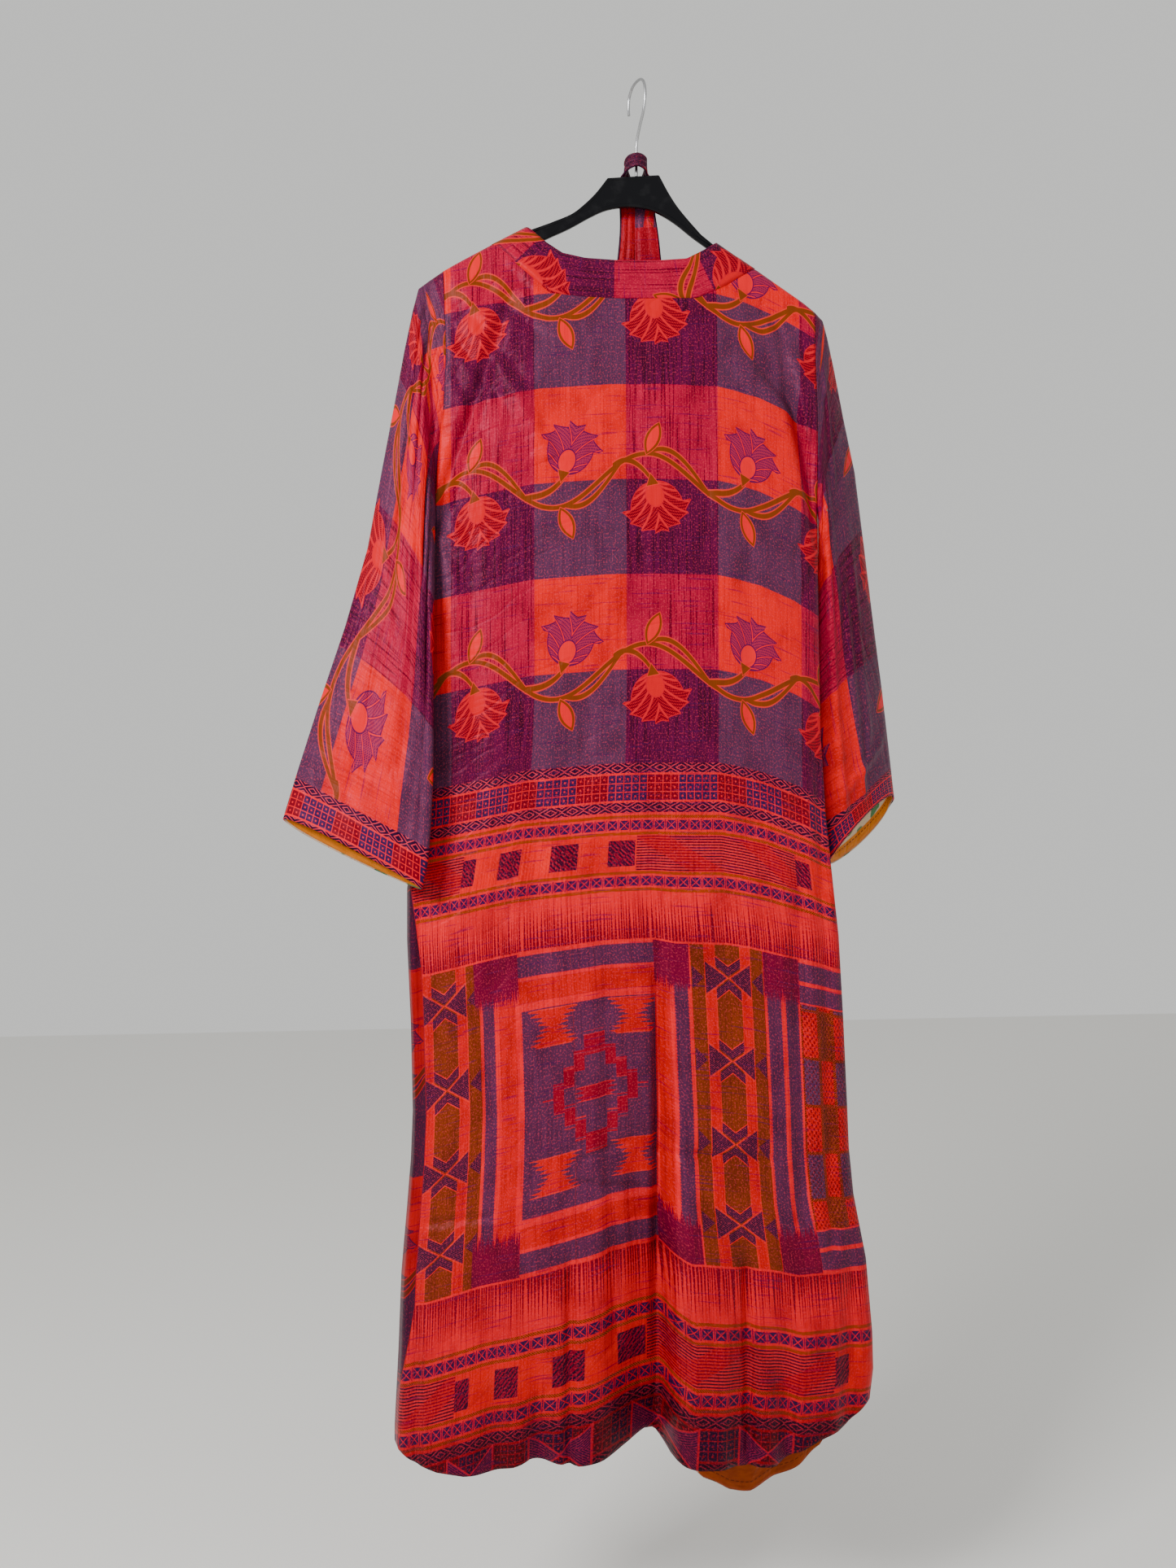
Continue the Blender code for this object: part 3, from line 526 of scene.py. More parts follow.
def printed_field(u, p):
    """Checks of two warps and two wefts, under rows of a flowering vine."""
    cell = u.repeat(REPEAT)
    red = cell.within(0.0, REPEAT / 2.0, 0.0010)
    row = (p - FIRST_ROW).repeat(ROW_REPEAT)
    purple = row.above(ROW_REPEAT / 2.0, 0.0010)
    bright = red.mix(ORANGE, CRIMSON)
    deep = red.mix(SLATE, PLUM)
    ground = slubs(u, p, purple.mix(bright, deep), red * 0.55 + 0.25)
    q = (p - FIRST_ROW).repeat(ROW_REPEAT) - ROW_REPEAT / 2.0
    line = stem_lines(u, q)
    ground = line.below(0.0032, 0.0007).mix(ground, SALMON)
    ground = line.below(0.0021, 0.0006).mix(ground, STEM)
    for at_u, at_q, reach, lean in ((0.022, -0.026, -0.034, 0.014), (0.128, 0.027, 0.034, 0.014)):
        inside = leaf(u, q, at_u, at_q, reach, lean, 0.0078)
        for edge, colour in ((-0.0009, SALMON), (0.0, STEM), (0.0024, CORAL)):
            ground = inside.above(edge, 0.0006).mix(ground, colour)
    kinds = (
        # calyx u, calyx q, way, lean, (reach, drop, hook, rate, foot, taper, flick),
        # outline, petals, lines, bud
        (0.131, -0.008, -1.0, 0.30, (0.051, 0.0130, 0.007, 3.1, 1.58, 22.0, -0.08),
         dye(70, 18, 62), dye(144, 34, 60), CORAL, CORAL),
        (0.028, 0.003, 1.0, 0.20, (0.052, 0.010, 0.004, 3.6, 1.66, 21.0, 0.09),
         dye(178, 12, 32), dye(100, 2, 24), dye(192, 18, 32), dye(188, 14, 26)),
    )
    for at_u, at_q, way, lean, shape, outline, petals, lines, heart in kinds:
        inside, line, bud, calyx, far, angle = flower(u, q, at_u, at_q, way, lean, shape)
        dots = (far * 2400.0).sine() * (angle * 60.0 + far * 900.0).sine()
        cloth = dots.above(0.30, 0.7).mix(petals, outline)
        cloth = line.below(0.0013, 0.0005).mix(cloth, outline)
        cloth = line.below(0.0006, 0.0004).mix(cloth, lines)
        cloth = inside.below(0.0012, 0.0005).mix(cloth, outline)
        cloth = bud.below(1.12, 0.06).mix(cloth, outline)
        cloth = bud.below(1.0, 0.06).mix(cloth, heart)
        ground = inside.above(0.0, 0.0006).mix(ground, cloth)
        ground = calyx.below(0.0008, 0.0005).mix(ground, SALMON)
        ground = calyx.below(0.0, 0.0005).mix(ground, STEM)
    return ground


def new_material(name):
    """A new material, the sockets of its shader, and a Shade that its nodes start from."""
    material = bpy.data.materials.new(name)
    material.use_nodes = True
    tree = material.node_tree
    return material, tree.nodes["Principled BSDF"].inputs, Shade(tree, None)


def silk_material(name, colour_of, roughness=0.42, sheen=0.03):
    """A woven silk: its colour, and the relief of its yarns."""
    material, sockets, start = new_material(name)
    place = start.node("ShaderNodeUVMap", {"uv_map": "cloth"}, {})
    u = start.node("ShaderNodeSeparateXYZ", {}, {0: place})
    p = Shade(u.tree, u.socket.node.outputs[1])
    colour_of(u, p).feed(sockets["Base Color"])
    yarn = u.grain(p, 0.0012, 0.030) * 0.6 + u.grain(p, 0.0200, 0.0009) * 0.4
    weave = {"Strength": 0.35, "Distance": 0.0006, "Height": yarn}
    drape = u.grain(p, 0.015, 0.070, 3.0) + p.grain(u, 0.006, 0.040, 2.0) * 0.25
    crease = abs((p + u * 0.30).grain(u, 0.030, 0.085, 1.0) - 0.5)
    drape = drape - crease.below(0.030, 0.060) * 0.20
    wrinkles = {"Strength": 0.55, "Distance": 0.0040, "Height": drape}
    wrinkles["Normal"] = start.node("ShaderNodeBump", {}, weave)
    start.node("ShaderNodeBump", {}, wrinkles).feed(sockets["Normal"])
    (yarn * 0.22 + (roughness - 0.11)).feed(sockets["Roughness"])
    sockets["Sheen Weight"].default_value = sheen
    sockets["Sheen Roughness"].default_value = 0.4
    sockets["Sheen Tint"].default_value = (0.90, 0.25, 0.40, 1.0)
    sockets["Specular IOR Level"].default_value = 0.18
    sockets["Specular Tint"].default_value = (0.90, 0.25, 0.40, 1.0)
    return material


def lining_colour(u, p):
    """Pale printed lining with green leaves and an orange ground beside them."""
    leafy = u.grain(p, 0.018, 0.026, 1.0)
    ground = leafy.above(0.55, 0.03).mix(dye(176, 154, 128), dye(63, 107, 69))
    return slubs(u, p, ground, 0.2)


def square_strips(ground, along, d):
    """Three rows of ringed squares between two strips of nested eyes; d runs across them."""
    rise = abs(d - 0.026)
    eye = abs(along.repeat(0.0226) - 0.0113) * 0.55 + abs(rise - 0.021)
    eyes = (eye / 0.0036).fract().above(0.70, 0.12).mix(dye(32, 8, 40), dye(186, 44, 60))
    ground = rise.below(0.0262, 0.0006).mix(ground, eyes)
    row = abs((d - 0.0122).repeat(0.0092) - 0.0046) * 0.9
    cell = abs(along.repeat(0.0083) - 0.00415).most(row)
    dark = along.repeat(0.0747).within(0.0, 0.0332, 0.0005).mix(dye(40, 22, 62), dye(104, 0, 24))
    square = cell.within(0.0009, 0.0037, 0.0005).mix(CORAL, dark)
    square = rise.below(0.0138, 0.0004).mix(CORAL, square)
    return rise.below(0.0156, 0.0005).mix(ground, square)


def block_strips(ground, u, d):
    """Cords, four-petalled flowers, and the band of blocks and lines between them."""
    rise = abs(d - BLOCK_MIDDLE)
    strip = abs(rise - 0.0295)
    ground = strip.below(0.0112, 0.0005).mix(ground, CORAL)
    twist = ((u + d) * 480.0).fract().above(0.4, 0.3).mix(dye(84, 22, 2), dye(164, 62, 6))
    ground = strip.within(0.0073, 0.0104, 0.0005).mix(ground, twist)
    x = abs(u.repeat(0.0122) - 0.0061)
    petals = x.most(strip).below(0.0049, 0.0004) * abs(x - strip).above(0.0005, 0.0004)
    petals = petals.most(x.above(0.0057, 0.0003)) * strip.below(0.0058, 0.0004)
    ground = petals.mix(ground, dye(38, 16, 62))
    at = (u - 0.215).repeat(0.360)
    tick = ((u - d) * 1300.0).sine() + (u * 210.0).sine() + (d * 210.0).sine()
    block = tick.above(0.9, 0.8).mix(dye(206, 6, 5), dye(212, 26, 20))
    x = abs((at - 0.08625).repeat(0.0575) - 0.02875)
    motif = x.most(rise)
    stroke = ((u - d) * 1250.0).sine() * ((x * 430.0).cosine() + (rise * 430.0).cosine())
    ink = stroke.above(-0.02, 0.25).mix(dye(132, 12, 38), dye(26, 6, 38))
    block = motif.below(0.0145, 0.0004).mix(block, dye(200, 34, 28))
    block = motif.below(0.0136, 0.0004).mix(block, ink)
    thread = (d / 0.0029).fract().above(0.56, 0.25)
    slant = (at + (d - BLOCK_MIDDLE) * -1.6 + 0.045).repeat(0.106).above(0.070, 0.0010)
    pale = slant.mix(dye(196, 30, 36), dye(186, 10, 20))
    lines = thread.mix(pale, slant.mix(GARNET, dye(112, 4, 30)))
    band_colour = at.above(0.170, 0.0006).mix(lines, block)
    return rise.below(0.0182, 0.0004).mix(ground, band_colour)


def fringe(ground, u, d):
    """Fine crimson stripes of uneven length that thicken down to the knotted end."""
    yarn = ((u + u.grain(u, 0.012, 1.0, 1.0) * 0.010) / 0.0030).fract()
    share = (d - 0.1345) / 0.0505
    length = u.grain(d, 0.0036, 0.60, 2.0)
    stripe = ((share + length * 0.9 - 0.55) * 0.42 - abs(yarn - 0.5)).above(0.0, 0.12)
    return (stripe * share.within(0.02, 1.0, 0.02)).mix(ground, dye(112, 1, 28))


def cross_column(x, p, brown):
    """A column of crosses and chevrons; x runs out from its middle line."""
    cross = x.within(0.0132, 0.0228, 0.0004).mix(brown, SCARLET)
    for low, high in ((0.0126, 0.0134), (0.0226, 0.0236)):
        cross = x.within(low, high, 0.0003).mix(cross, LINE_RED)
    y = abs((p - 0.911).repeat(0.082) - 0.041)
    slope = y - x * 0.78
    thread = (slope / 0.0019).fract().above(0.6, 0.3).mix(GARNET, dye(94, 36, 62))
    wedge = slope.below(-0.0016, 0.0004) * x.below(0.0228, 0.0004)
    chevron = slope.within(0.0016, 0.0110, 0.0004) * x.below(0.0128, 0.0004)
    small = (x - 0.0236 - y).above(0.0006, 0.0004) * x.below(0.0358, 0.0004)
    trim = abs(slope - 0.0052).within(0.0050, 0.0070, 0.0004) * x.below(0.0236, 0.0004)
    trim = trim * (1.0 - (slope - 0.002).above(0.0, 0.0004) * x.above(0.0134, 0.0004))
    return wedge.most(chevron).most(small).mix(trim.mix(cross, LINE_RED), thread)


def woven_panel(u, p):
    """The skirt's panel of ikat blocks, columns of crosses and a field with a medallion."""
    u = (u + 0.041).repeat(0.473) - 0.041
    tooth = abs((p * 320.0).fract() - 0.5) * 0.0016
    spike = (p.grain(u, 0.0016, 1.0, 2.0) - 0.5) * 0.018
    comb = abs((p / 0.0048).fract() - 0.5) * 0.020 + spike
    drip = (u.grain(p, 0.0011, 1.0, 2.0) - 0.5) * 0.060
    purple = dye(74, 36, 62)
    brown = u.grain(p, 0.003, 0.003, 1.0).mix(dye(88, 31, 6), dye(122, 50, 13))
    reach = abs(p - PANEL_MIDDLE)
    ragged = reach + tooth
    edge = u + tooth
    ground = CORAL
    for low, high, colour in (
        # stripes down the panel: from u, to u, colour
        (0.051, 0.066, purple), (0.072, 0.094, SCARLET), (0.1015, 0.231, purple),
        (0.234, 0.244, SCARLET), (0.248, 0.261, purple), (0.341, 0.356, purple),
        (0.361, 0.376, purple),
    ):
        ground = edge.within(low, high, 0.0006).mix(ground, colour)
    field = (edge + spike * 0.4).within(0.098, 0.234, 0.0006)
    for low, high, colour in (
        # bands over and under the field: from reach, to reach, colour
        (0.1045, 0.1130, CORAL), (0.1130, 0.1350, SCARLET), (0.1350, 0.1385, CORAL),
        (0.1385, 0.1600, purple), (0.1600, 0.1700, CORAL),
    ):
        ground = (ragged.within(low, high, 0.0006) * field).mix(ground, colour)
    x = abs(u - 0.1695)
    y = abs(p - 1.072)
    rise = abs(y - 0.075)
    glass = (comb + rise * 0.66 + 0.002 - abs(x - 0.0385)).least(0.0185 - rise).least(0.231 - u)
    ground = glass.above(-0.0007, 0.0005).mix(ground, dye(202, 34, 28))
    ground = glass.above(0.0004, 0.0005).mix(ground, SCARLET)
    step = (x / 0.0102).math("FLOOR") * 0.0150
    ring = comb * 0.7 + 0.0060 - abs(step + y - 0.0500)
    ring = ring.most((0.0070 - y).least(comb + 0.010 - x))
    ground = ring.above(-0.0007, 0.0005).mix(ground, dye(184, 22, 32))
    ground = ring.above(0.0003, 0.0005).mix(ground, dye(128, 2, 32))
    right = u.above(0.150, 0.001)
    left_x = (u - 0.002) * (0.072 / 0.088)
    x = abs(right * (u - 0.301 - left_x) + left_x)
    ground = x.below(0.0365, 0.0004).mix(ground, cross_column(x, p, brown))
    cell_u = (u - 0.378) / 0.0180
    cell_p = (p - 0.970) / 0.0490
    odd_u = cell_u.repeat(2.0).above(1.0, 0.03)
    odd_p = cell_p.repeat(2.0).above(1.0, 0.01)
    patch = odd_p.mix(odd_u.mix(SCARLET, brown), odd_u.mix(SLATE, SCARLET))
    dash = (u * 1500.0).sine() * (p * 900.0 + (u * 90.0).sine() * 3.0).sine()
    patch = (dash.above(0.15, 0.3) * 0.7).mix(patch, dye(70, 10, 12))
    cord = abs(cell_u.fract() - 0.5) * 0.018
    cord = cord.most(abs(cell_p.fract() - 0.5) * 0.049 - 0.0155)
    twist = ((u + p) * 420.0).fract().above(0.4, 0.3).mix(dye(56, 14, 1), dye(134, 46, 3))
    patch = cord.above(0.0074, 0.0005).mix(patch, twist)
    stripe = ragged.within(0.119, 0.136, 0.0006).most(ragged.within(0.141, 0.160, 0.0006))
    patch = reach.above(0.1165, 0.0006).mix(patch, stripe.mix(CORAL, purple))
    ground = u.above(0.378, 0.0006).mix(ground, patch)
    block = (reach + drip).above(0.118, 0.0010) * reach.below(0.163, 0.0006)
    places = u.within(0.041, 0.099, 0.0006).most(u.within(0.230, 0.263, 0.0006))
    places = places.most(u.within(0.338, 0.378, 0.0006))
    return (block * places).mix(ground, dye(98, 4, 42))


def hem_figures(ground, u, p):
    """Dark bow-tied triangles among the last rows of squares, on a ground deepened partly for its
    darker dye and partly as painted shade.
    """
    # Partly painted shade: the ground grows darker towards the hem, for its darker dye and for the
    # shade where the hem curls under.
    deep = ground.deepened(dye(136, 96, 150))
    ground = (p.above(1.400, 0.030) * 0.85).mix(ground, deep)
    x = abs(u.repeat(0.092) - 0.046)
    y = abs(p - 1.437)
    tie = (x * 0.85 - y).least(0.026 - x)
    thread = ((y - x * 0.85) / 0.0026).fract().above(0.6, 0.3)
    ground = tie.above(-0.0018, 0.0006).mix(ground, dye(176, 26, 40))
    return tie.above(0.0, 0.0006).mix(ground, thread.mix(dye(46, 12, 48), dye(120, 24, 62)))


def body_colour(u, p):
    """The whole length of a body panel: the checks, the border, the skirt and the hem. Along
    its left edge the left front laps round the side, with its own checks."""
    lap = ((p - 0.80) * 0.14).least(0.016).least((1.345 - p) * 0.16).most(0.0)
    lap = (u - lap).below(-0.040, 0.0008)
    p = p - lap * 0.58
    d = (p - BORDER_TOP).least(1.256 - p * 0.86)
    skirt = block_strips(CORAL, u, d)
    skirt = fringe(square_strips(skirt, u, d), u, d)
    skirt = hem_figures(skirt, u, p)
    skirt = d.above(BORDER_DEPTH, 0.0006).mix(skirt, woven_panel(u, p))
    skirt = slubs(u, p, skirt, 0.30)
    whole = p.above(BORDER_TOP, 0.0006).mix(printed_field(u, p), skirt)
    # Painted shade: a darker copy of the panel's colour, laid ever more heavily over the skirt towards
    # the hem.
    deep = whole.deepened(dye(180, 130, 160))
    hem_shade = (p - 1.180).math("MULTIPLY", 3.6, clamp=True) * 0.75
    whole = hem_shade.mix(whole, deep)
    # Painted shade in thin lines along both side seams, and over the left front's lap strip where it
    # lies behind the back panel's edge.
    seam_shade = u.within(-0.0412, -0.0388, 0.0006) + u.within(0.4306, 0.4330, 0.0006)
    return (lap * u.above(-0.0412, 0.0006)).most(seam_shade).mix(whole, deep)


body_silk = silk_material("body_silk", body_colour)
lining_silk = silk_material("lining_silk", lining_colour, 0.5, 0.1)
back_panel = cloth_grid("back_panel_silk", 124, 368, back_place)
give_wall(back_panel, WALL, body_silk, lining_silk)
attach(back_panel, "root")
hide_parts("back_panel")


# Fronts. Two narrower panels of the same silk, sewn to the back at the shoulders and sides.
# They hang behind the back panel, open from neck to hem, and the right one hangs lower.
HEM_FRONT = np.array((
    # x, z
    (-0.264, -1.446), (-0.230, -1.468), (-0.180, -1.480), (-0.100, -1.476),
    (-0.010, -1.464), (0.010, -1.462), (0.040, -1.484), (0.056, -1.506), (0.078, -1.526),
    (0.107, -1.537), (0.132, -1.537), (0.168, -1.524), (0.190, -1.511),
    (0.214, -1.492), (0.236, -1.452), (0.258, -1.420),
))
FRONT_SEAM = np.array((
    # drop, left seam x, right seam x
    (0.000, -0.160, 0.125), (0.014, -0.156, 0.122), (0.053, -0.146, 0.115),
    (0.118, -0.130, 0.102), (0.198, -0.111, 0.087), (0.298, -0.086, 0.071),
    (0.408, -0.065, 0.059), (0.538, -0.055, 0.053), (0.818, -0.054, 0.052),
    (1.400, -0.054, 0.052),
))
FRONT_FOLDS = (
    # top x, top z, low x, low z, width left, width right, depth at top, depth at low end
    (-0.150, -0.850, -0.158, -1.480, 0.040, 0.032, 0.002, 0.016),
    (-0.105, -1.050, -0.110, -1.480, 0.026, 0.026, 0.001, 0.008),
    (0.115, -0.900, 0.122, -1.520, 0.036, 0.040, 0.002, 0.014),
    (0.170, -1.050, 0.178, -1.500, 0.024, 0.024, 0.001, 0.009),
    (-0.180, -0.260, -0.150, -0.420, 0.020, 0.020, 0.003, 0.004),
    (0.165, -0.280, 0.135, -0.430, 0.020, 0.020, 0.003, 0.004),
)
FRONT_CREASES = (
    # from x, z, to x, z, half width, depth
    (-0.200, -1.190, -0.110, -1.205, 0.008, 0.0018),
    (0.090, -1.150, 0.190, -1.142, 0.008, 0.0018),
    (-0.190, -0.500, -0.180, -0.800, 0.010, 0.0014),
    (0.150, -0.520, 0.158, -0.840, 0.010, 0.0014),
    (-0.120, -0.640, -0.115, -0.900, 0.010, 0.0014),
    (0.100, -0.700, 0.104, -0.980, 0.012, 0.0014),
)
# The side seam's place across the flat cloth, and how far the print's rows drop there.
FRONT_CLOTH = {"left": (-0.040, 0.031), "right": (0.432, 0.042)}
INWARD = {"left": 1.0, "right": -1.0}


def front_place(side):
    """How one front's grid lies, from its side seam to its band seam."""
    outer = SIDE_COLUMN[side]
    gap = SEAM * INWARD[side]
    sewn_at, side_bow = FRONT_CLOTH[side]

    def place(share, down):
        share = 1.0 - share if side == "left" else share
        x_top = OUTLINE[-1][outer] + (FRONT_SEAM[0][outer] - OUTLINE[-1][outer]) * share
        x_low = OUTLINE[2][outer] + (FRONT_SEAM[-1][outer] - OUTLINE[2][outer]) * share
        z_top = shoulder(x_top)
        z = z_top - row_drops(down, z_top - column(HEM_FRONT, x_low, 1))
        outer_x = column(OUTLINE, z, outer) + gap
        inner_x = column(FRONT_SEAM, z_top - z, outer) - gap * 0.2
        x = outer_x + (inner_x - outer_x) * share
        depth, calm = body_depth(x, z, False)
        depth -= calm * fold_depth(x, z, FRONT_FOLDS)
        depth -= calm * crease_depth(x, z, FRONT_CREASES)
        settled = ease((shoulder(x) - z) / 0.15) * ease((1.0 - share) / 0.1)
        depth += calm * settled * 0.0014 * ripple(x, z, 7.0, 0.045, 0.19)
        across = sewn_at - INWARD[side] * 0.24 * share
        bow = side_bow + (0.005 - side_bow) * share
        return (x, np.maximum(depth, RIDGE_SEAM), z), (across, -z - bow)

    return place


for side in ("left", "right"):
    front = cloth_grid(side + "_front_silk", 54, 300, front_place(side))
    give_wall(front, WALL, body_silk, lining_silk)
    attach(front, "root")
    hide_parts(side + "_front")


# Neck band. A strip of the same silk folded double, cut along the checks and sewn on from one
# front hem round the back of the neck to the other.
BAND_WIDTH = 0.043
BAND_ROWS = 720
# Where on the flat cloth the band is cut, at its seam and at the middle of the neck.
BAND_CLOTH = (0.032, 0.563)


def between_rows(table, place):
    """A table's columns at places counted in rows from 0, straight between the rows."""
    return [np.interp(place, range(len(table)), values) for values in np.transpose(table)]


def front_band_line(side, drop):
    """Seam and free edge of the band on a front, at a drop below the shoulder."""
    outer = SIDE_COLUMN[side]
    z = shoulder(FRONT_SEAM[0][outer]) - drop
    seam_x = column(FRONT_SEAM, drop, outer)
    neck = 1.0 - ease(drop / 0.08)
    slant = 1.0 - ease((drop - 0.25) / 0.30)
    free_x = seam_x + INWARD[side] * (BAND_WIDTH - 0.007 * neck)
    full = shoulder(OUTLINE[-1][outer]) - HEM_FRONT[0][1]
    lift = column(HEM_FRONT, free_x, 1) - column(HEM_FRONT, seam_x, 1)
    free_z = z + 0.010 * slant + 0.010 * neck + lift * (drop / full) ** 6
    return np.stack((seam_x, z, free_x, free_z), axis=1)


def line_run(points):
    """The length along a line up to each of its points."""
    return np.concatenate(((0.0,), np.cumsum(np.linalg.norm(np.diff(points, axis=0), axis=1))))


def band_line():
    """The whole band, row by row: its seam, its free edge, 1 where it lies on the back, and the
    length along it from the middle of the neck."""
    bent = np.linspace(0.0, BEND_DROP, 12)[1:] ** 2 / BEND_DROP
    sides = []
    for side in ("left", "right"):
        outer = SIDE_COLUMN[side]
        full = shoulder(FRONT_SEAM[0][outer]) - column(HEM_FRONT, FRONT_SEAM[-1][outer], 1)
        hung = BEND_DROP + (full - BEND_DROP) * np.linspace(0.0, 1.0, 160)
        sides.append(front_band_line(side, np.concatenate((bent, hung))))
    left, right = sides
    neck = np.transpose(between_rows(NECK_SEAM, np.linspace(0.0, len(NECK_SEAM) - 1.0, 90)))
    line = np.concatenate((left[::-1], neck, right))
    back = np.repeat((0.0, 1.0, 0.0), (len(left), len(neck), len(right)))
    middle = (line[:, :2] + line[:, 2:]) / 2.0
    run = line_run(middle)
    behind = back > 0.5
    run -= np.interp(0.0, middle[behind, 0], run[behind])
    return np.column_stack((line, back, run))


BAND_LINE = band_line()


def band_place(share, down):
    """The band's points: across it from the seam to the folded free edge, and along it."""
    at = np.linspace(0.0, len(BAND_LINE) - 1.0, BAND_ROWS + 1)
    at = at[np.rint(down * BAND_ROWS).astype(int)]
    seam_x, seam_z, free_x, free_z, back, run = between_rows(BAND_LINE, at)
    x = seam_x + (free_x - seam_x) * share
    z = seam_z + (free_z - seam_z) * share
    near, _ = body_depth(x, z, True)
    far, _ = body_depth(x, z, False)
    y = np.where(back > 0.5, -near, far)
    return (x, y, z), (BAND_CLOTH[0] + share * BAND_WIDTH, BAND_CLOTH[1] + run)


band = cloth_grid("neck_band_silk", 8, BAND_ROWS, band_place)
band_silk = silk_material("band_silk", printed_field)
give_wall(band, 0.0028, band_silk, band_silk)
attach(band, "root")
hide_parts("neck_band")


# Sleeves. Two wide straight tubes cut across the print, set into the armholes and hanging by
# their own weight: the left one faces back, the right one has turned away.
SLEEVES = {"left": np.array((
    # fold x, y, z, underarm x, y, z, half depth
    (-0.226, 0.000, -0.223, -0.2205, -0.003, -0.462, 0.010),
    (-0.237, -0.001, -0.232, -0.2210, -0.010, -0.482, 0.011),
    (-0.243, -0.003, -0.256, -0.2220, -0.020, -0.515, 0.011),
    (-0.252, -0.004, -0.300, -0.2225, -0.029, -0.555, 0.011),
    (-0.262, -0.005, -0.355, -0.2230, -0.037, -0.600, 0.011),
    (-0.276, -0.006, -0.430, -0.2235, -0.043, -0.650, 0.011),
    (-0.290, -0.007, -0.508, -0.2235, -0.047, -0.700, 0.011),
    (-0.313, -0.008, -0.590, -0.2240, -0.050, -0.748, 0.011),
    (-0.340, -0.010, -0.672, -0.226, -0.053, -0.792, 0.011),
    (-0.362, -0.010, -0.742, -0.229, -0.055, -0.832, 0.011),
    (-0.379, -0.010, -0.799, -0.236, -0.056, -0.866, 0.012),
)), "right": np.array((
    # fold x, y, z, underarm x, y, z, half depth
    (0.201, 0.002, -0.248, 0.1985, 0.002, -0.466, 0.009),
    (0.207, 0.006, -0.264, 0.1990, 0.006, -0.486, 0.010),
    (0.217, 0.014, -0.296, 0.1985, 0.010, -0.515, 0.011),
    (0.231, 0.026, -0.346, 0.1990, 0.012, -0.553, 0.012),
    (0.248, 0.038, -0.405, 0.1995, 0.013, -0.600, 0.013),
    (0.262, 0.050, -0.484, 0.2005, 0.014, -0.652, 0.014),
    (0.275, 0.060, -0.565, 0.2020, 0.014, -0.702, 0.015),
    (0.289, 0.069, -0.650, 0.2050, 0.013, -0.752, 0.015),
    (0.300, 0.076, -0.728, 0.2090, 0.012, -0.804, 0.015),
    (0.309, 0.081, -0.797, 0.2145, 0.010, -0.852, 0.016),
))}
CUFF_STEP = {"left": 0.24, "right": 0.58}
CUFF_BORDER = 0.046
CUFF_DEPTH = 0.066
CUFF_WIDTH = 0.17
SLEEVE_FLARE = 0.07
SLEEVE_LENGTH = 0.60
SLEEVE_LAYER = 0.2
UNDERARM_GAP = 0.0015
SLEEVE_CREASES = {
    # along the sleeve and across it as shares, to along, across, half width (m), depth (m)
    "left": (
        (0.10, 0.28, 0.42, 0.46, 0.008, 0.0040), (0.06, 0.66, 0.46, 0.74, 0.007, 0.0070),
        (0.30, 0.22, 0.62, 0.30, 0.008, 0.0026), (0.45, 0.60, 0.80, 0.72, 0.012, 0.0036),
        (0.62, 0.36, 0.97, 0.40, 0.012, 0.0026), (0.70, 0.86, 0.96, 0.82, 0.009, 0.0032),
        (0.46, 0.88, 0.92, 0.93, 0.006, 0.0040), (0.12, 0.12, 0.30, 0.20, 0.007, 0.0024),
        (0.16, 0.84, 0.60, 0.88, 0.008, 0.0060),
    ),
    "right": (
        (0.08, 0.30, 0.40, 0.42, 0.010, 0.0024), (0.30, 0.60, 0.62, 0.66, 0.012, 0.0030),
        (0.55, 0.30, 0.86, 0.36, 0.010, 0.0022), (0.855, 0.10, 0.865, 0.80, 0.006, 0.0034),
        (0.80, 0.36, 0.86, 0.44, 0.006, 0.0024), (0.22, 0.72, 0.96, 0.84, 0.010, 0.0060),
        (0.58, 0.48, 0.95, 0.56, 0.009, 0.0038),
    ),
}


def sleeve_ring(side, place, angle):
    """Points of the sleeve: place counts the table's rows, the angle turns round the tube.
    Angle 0 is the fold at the top, half a turn is the underarm, and the near layer is positive."""
    values = between_rows(SLEEVES[side], place - 1.0)
    fold = np.stack(values[0:3], axis=1)
    line = np.stack(values[3:6], axis=1) - fold
    length = np.linalg.norm(line, axis=1, keepdims=True)
    out = np.array((0.0, -1.0, 0.0)) - line * (-line[:, 1:2] / length ** 2)
    out /= np.linalg.norm(out, axis=1, keepdims=True)
    share = 0.5 - 0.5 * np.cos(angle)
    layer = np.sign(np.sin(angle))
    swell = layer * np.abs(np.sin(angle)) ** 0.75
    hung = fold + line * share[:, None] + out * (values[6] * swell)[:, None]
    top = shoulder(OUTLINE[-1][SIDE_COLUMN[side]])
    z = top + (ARMHOLE_LOW[side] - UNDERARM_GAP - top) * share
    half = armhole_half(top - z, side) * layer
    sewn = np.stack((column(OUTLINE, z, SIDE_COLUMN[side]), -half, z), axis=1)
    return sewn + (hung - sewn) * np.clip(place, 0.0, 1.0)[:, None]


def sleeve_wall(side, share, at):
    """The angle round the tube, the points and the normals of the sleeve's wall. The near
    layer's last rows step back, so the cuff opens towards the viewer."""
    angle = (share - 0.5) * 2.0 * math.pi * INWARD[side]
    last = np.clip(at - (len(SLEEVES[side]) - 1), 0.0, 1.0)
    at = at - last * CUFF_STEP[side] * (0.5 + 0.5 * np.sin(angle))
    ahead = sleeve_ring(side, at, angle + 0.02) - sleeve_ring(side, at, angle - 0.02)
    below = sleeve_ring(side, at + 0.05, angle) - sleeve_ring(side, at - 0.05, angle)
    normal = np.cross(below, ahead)
    normal /= np.maximum(np.linalg.norm(normal, axis=1, keepdims=True), 1e-9)
    return angle, sleeve_ring(side, at, angle), normal


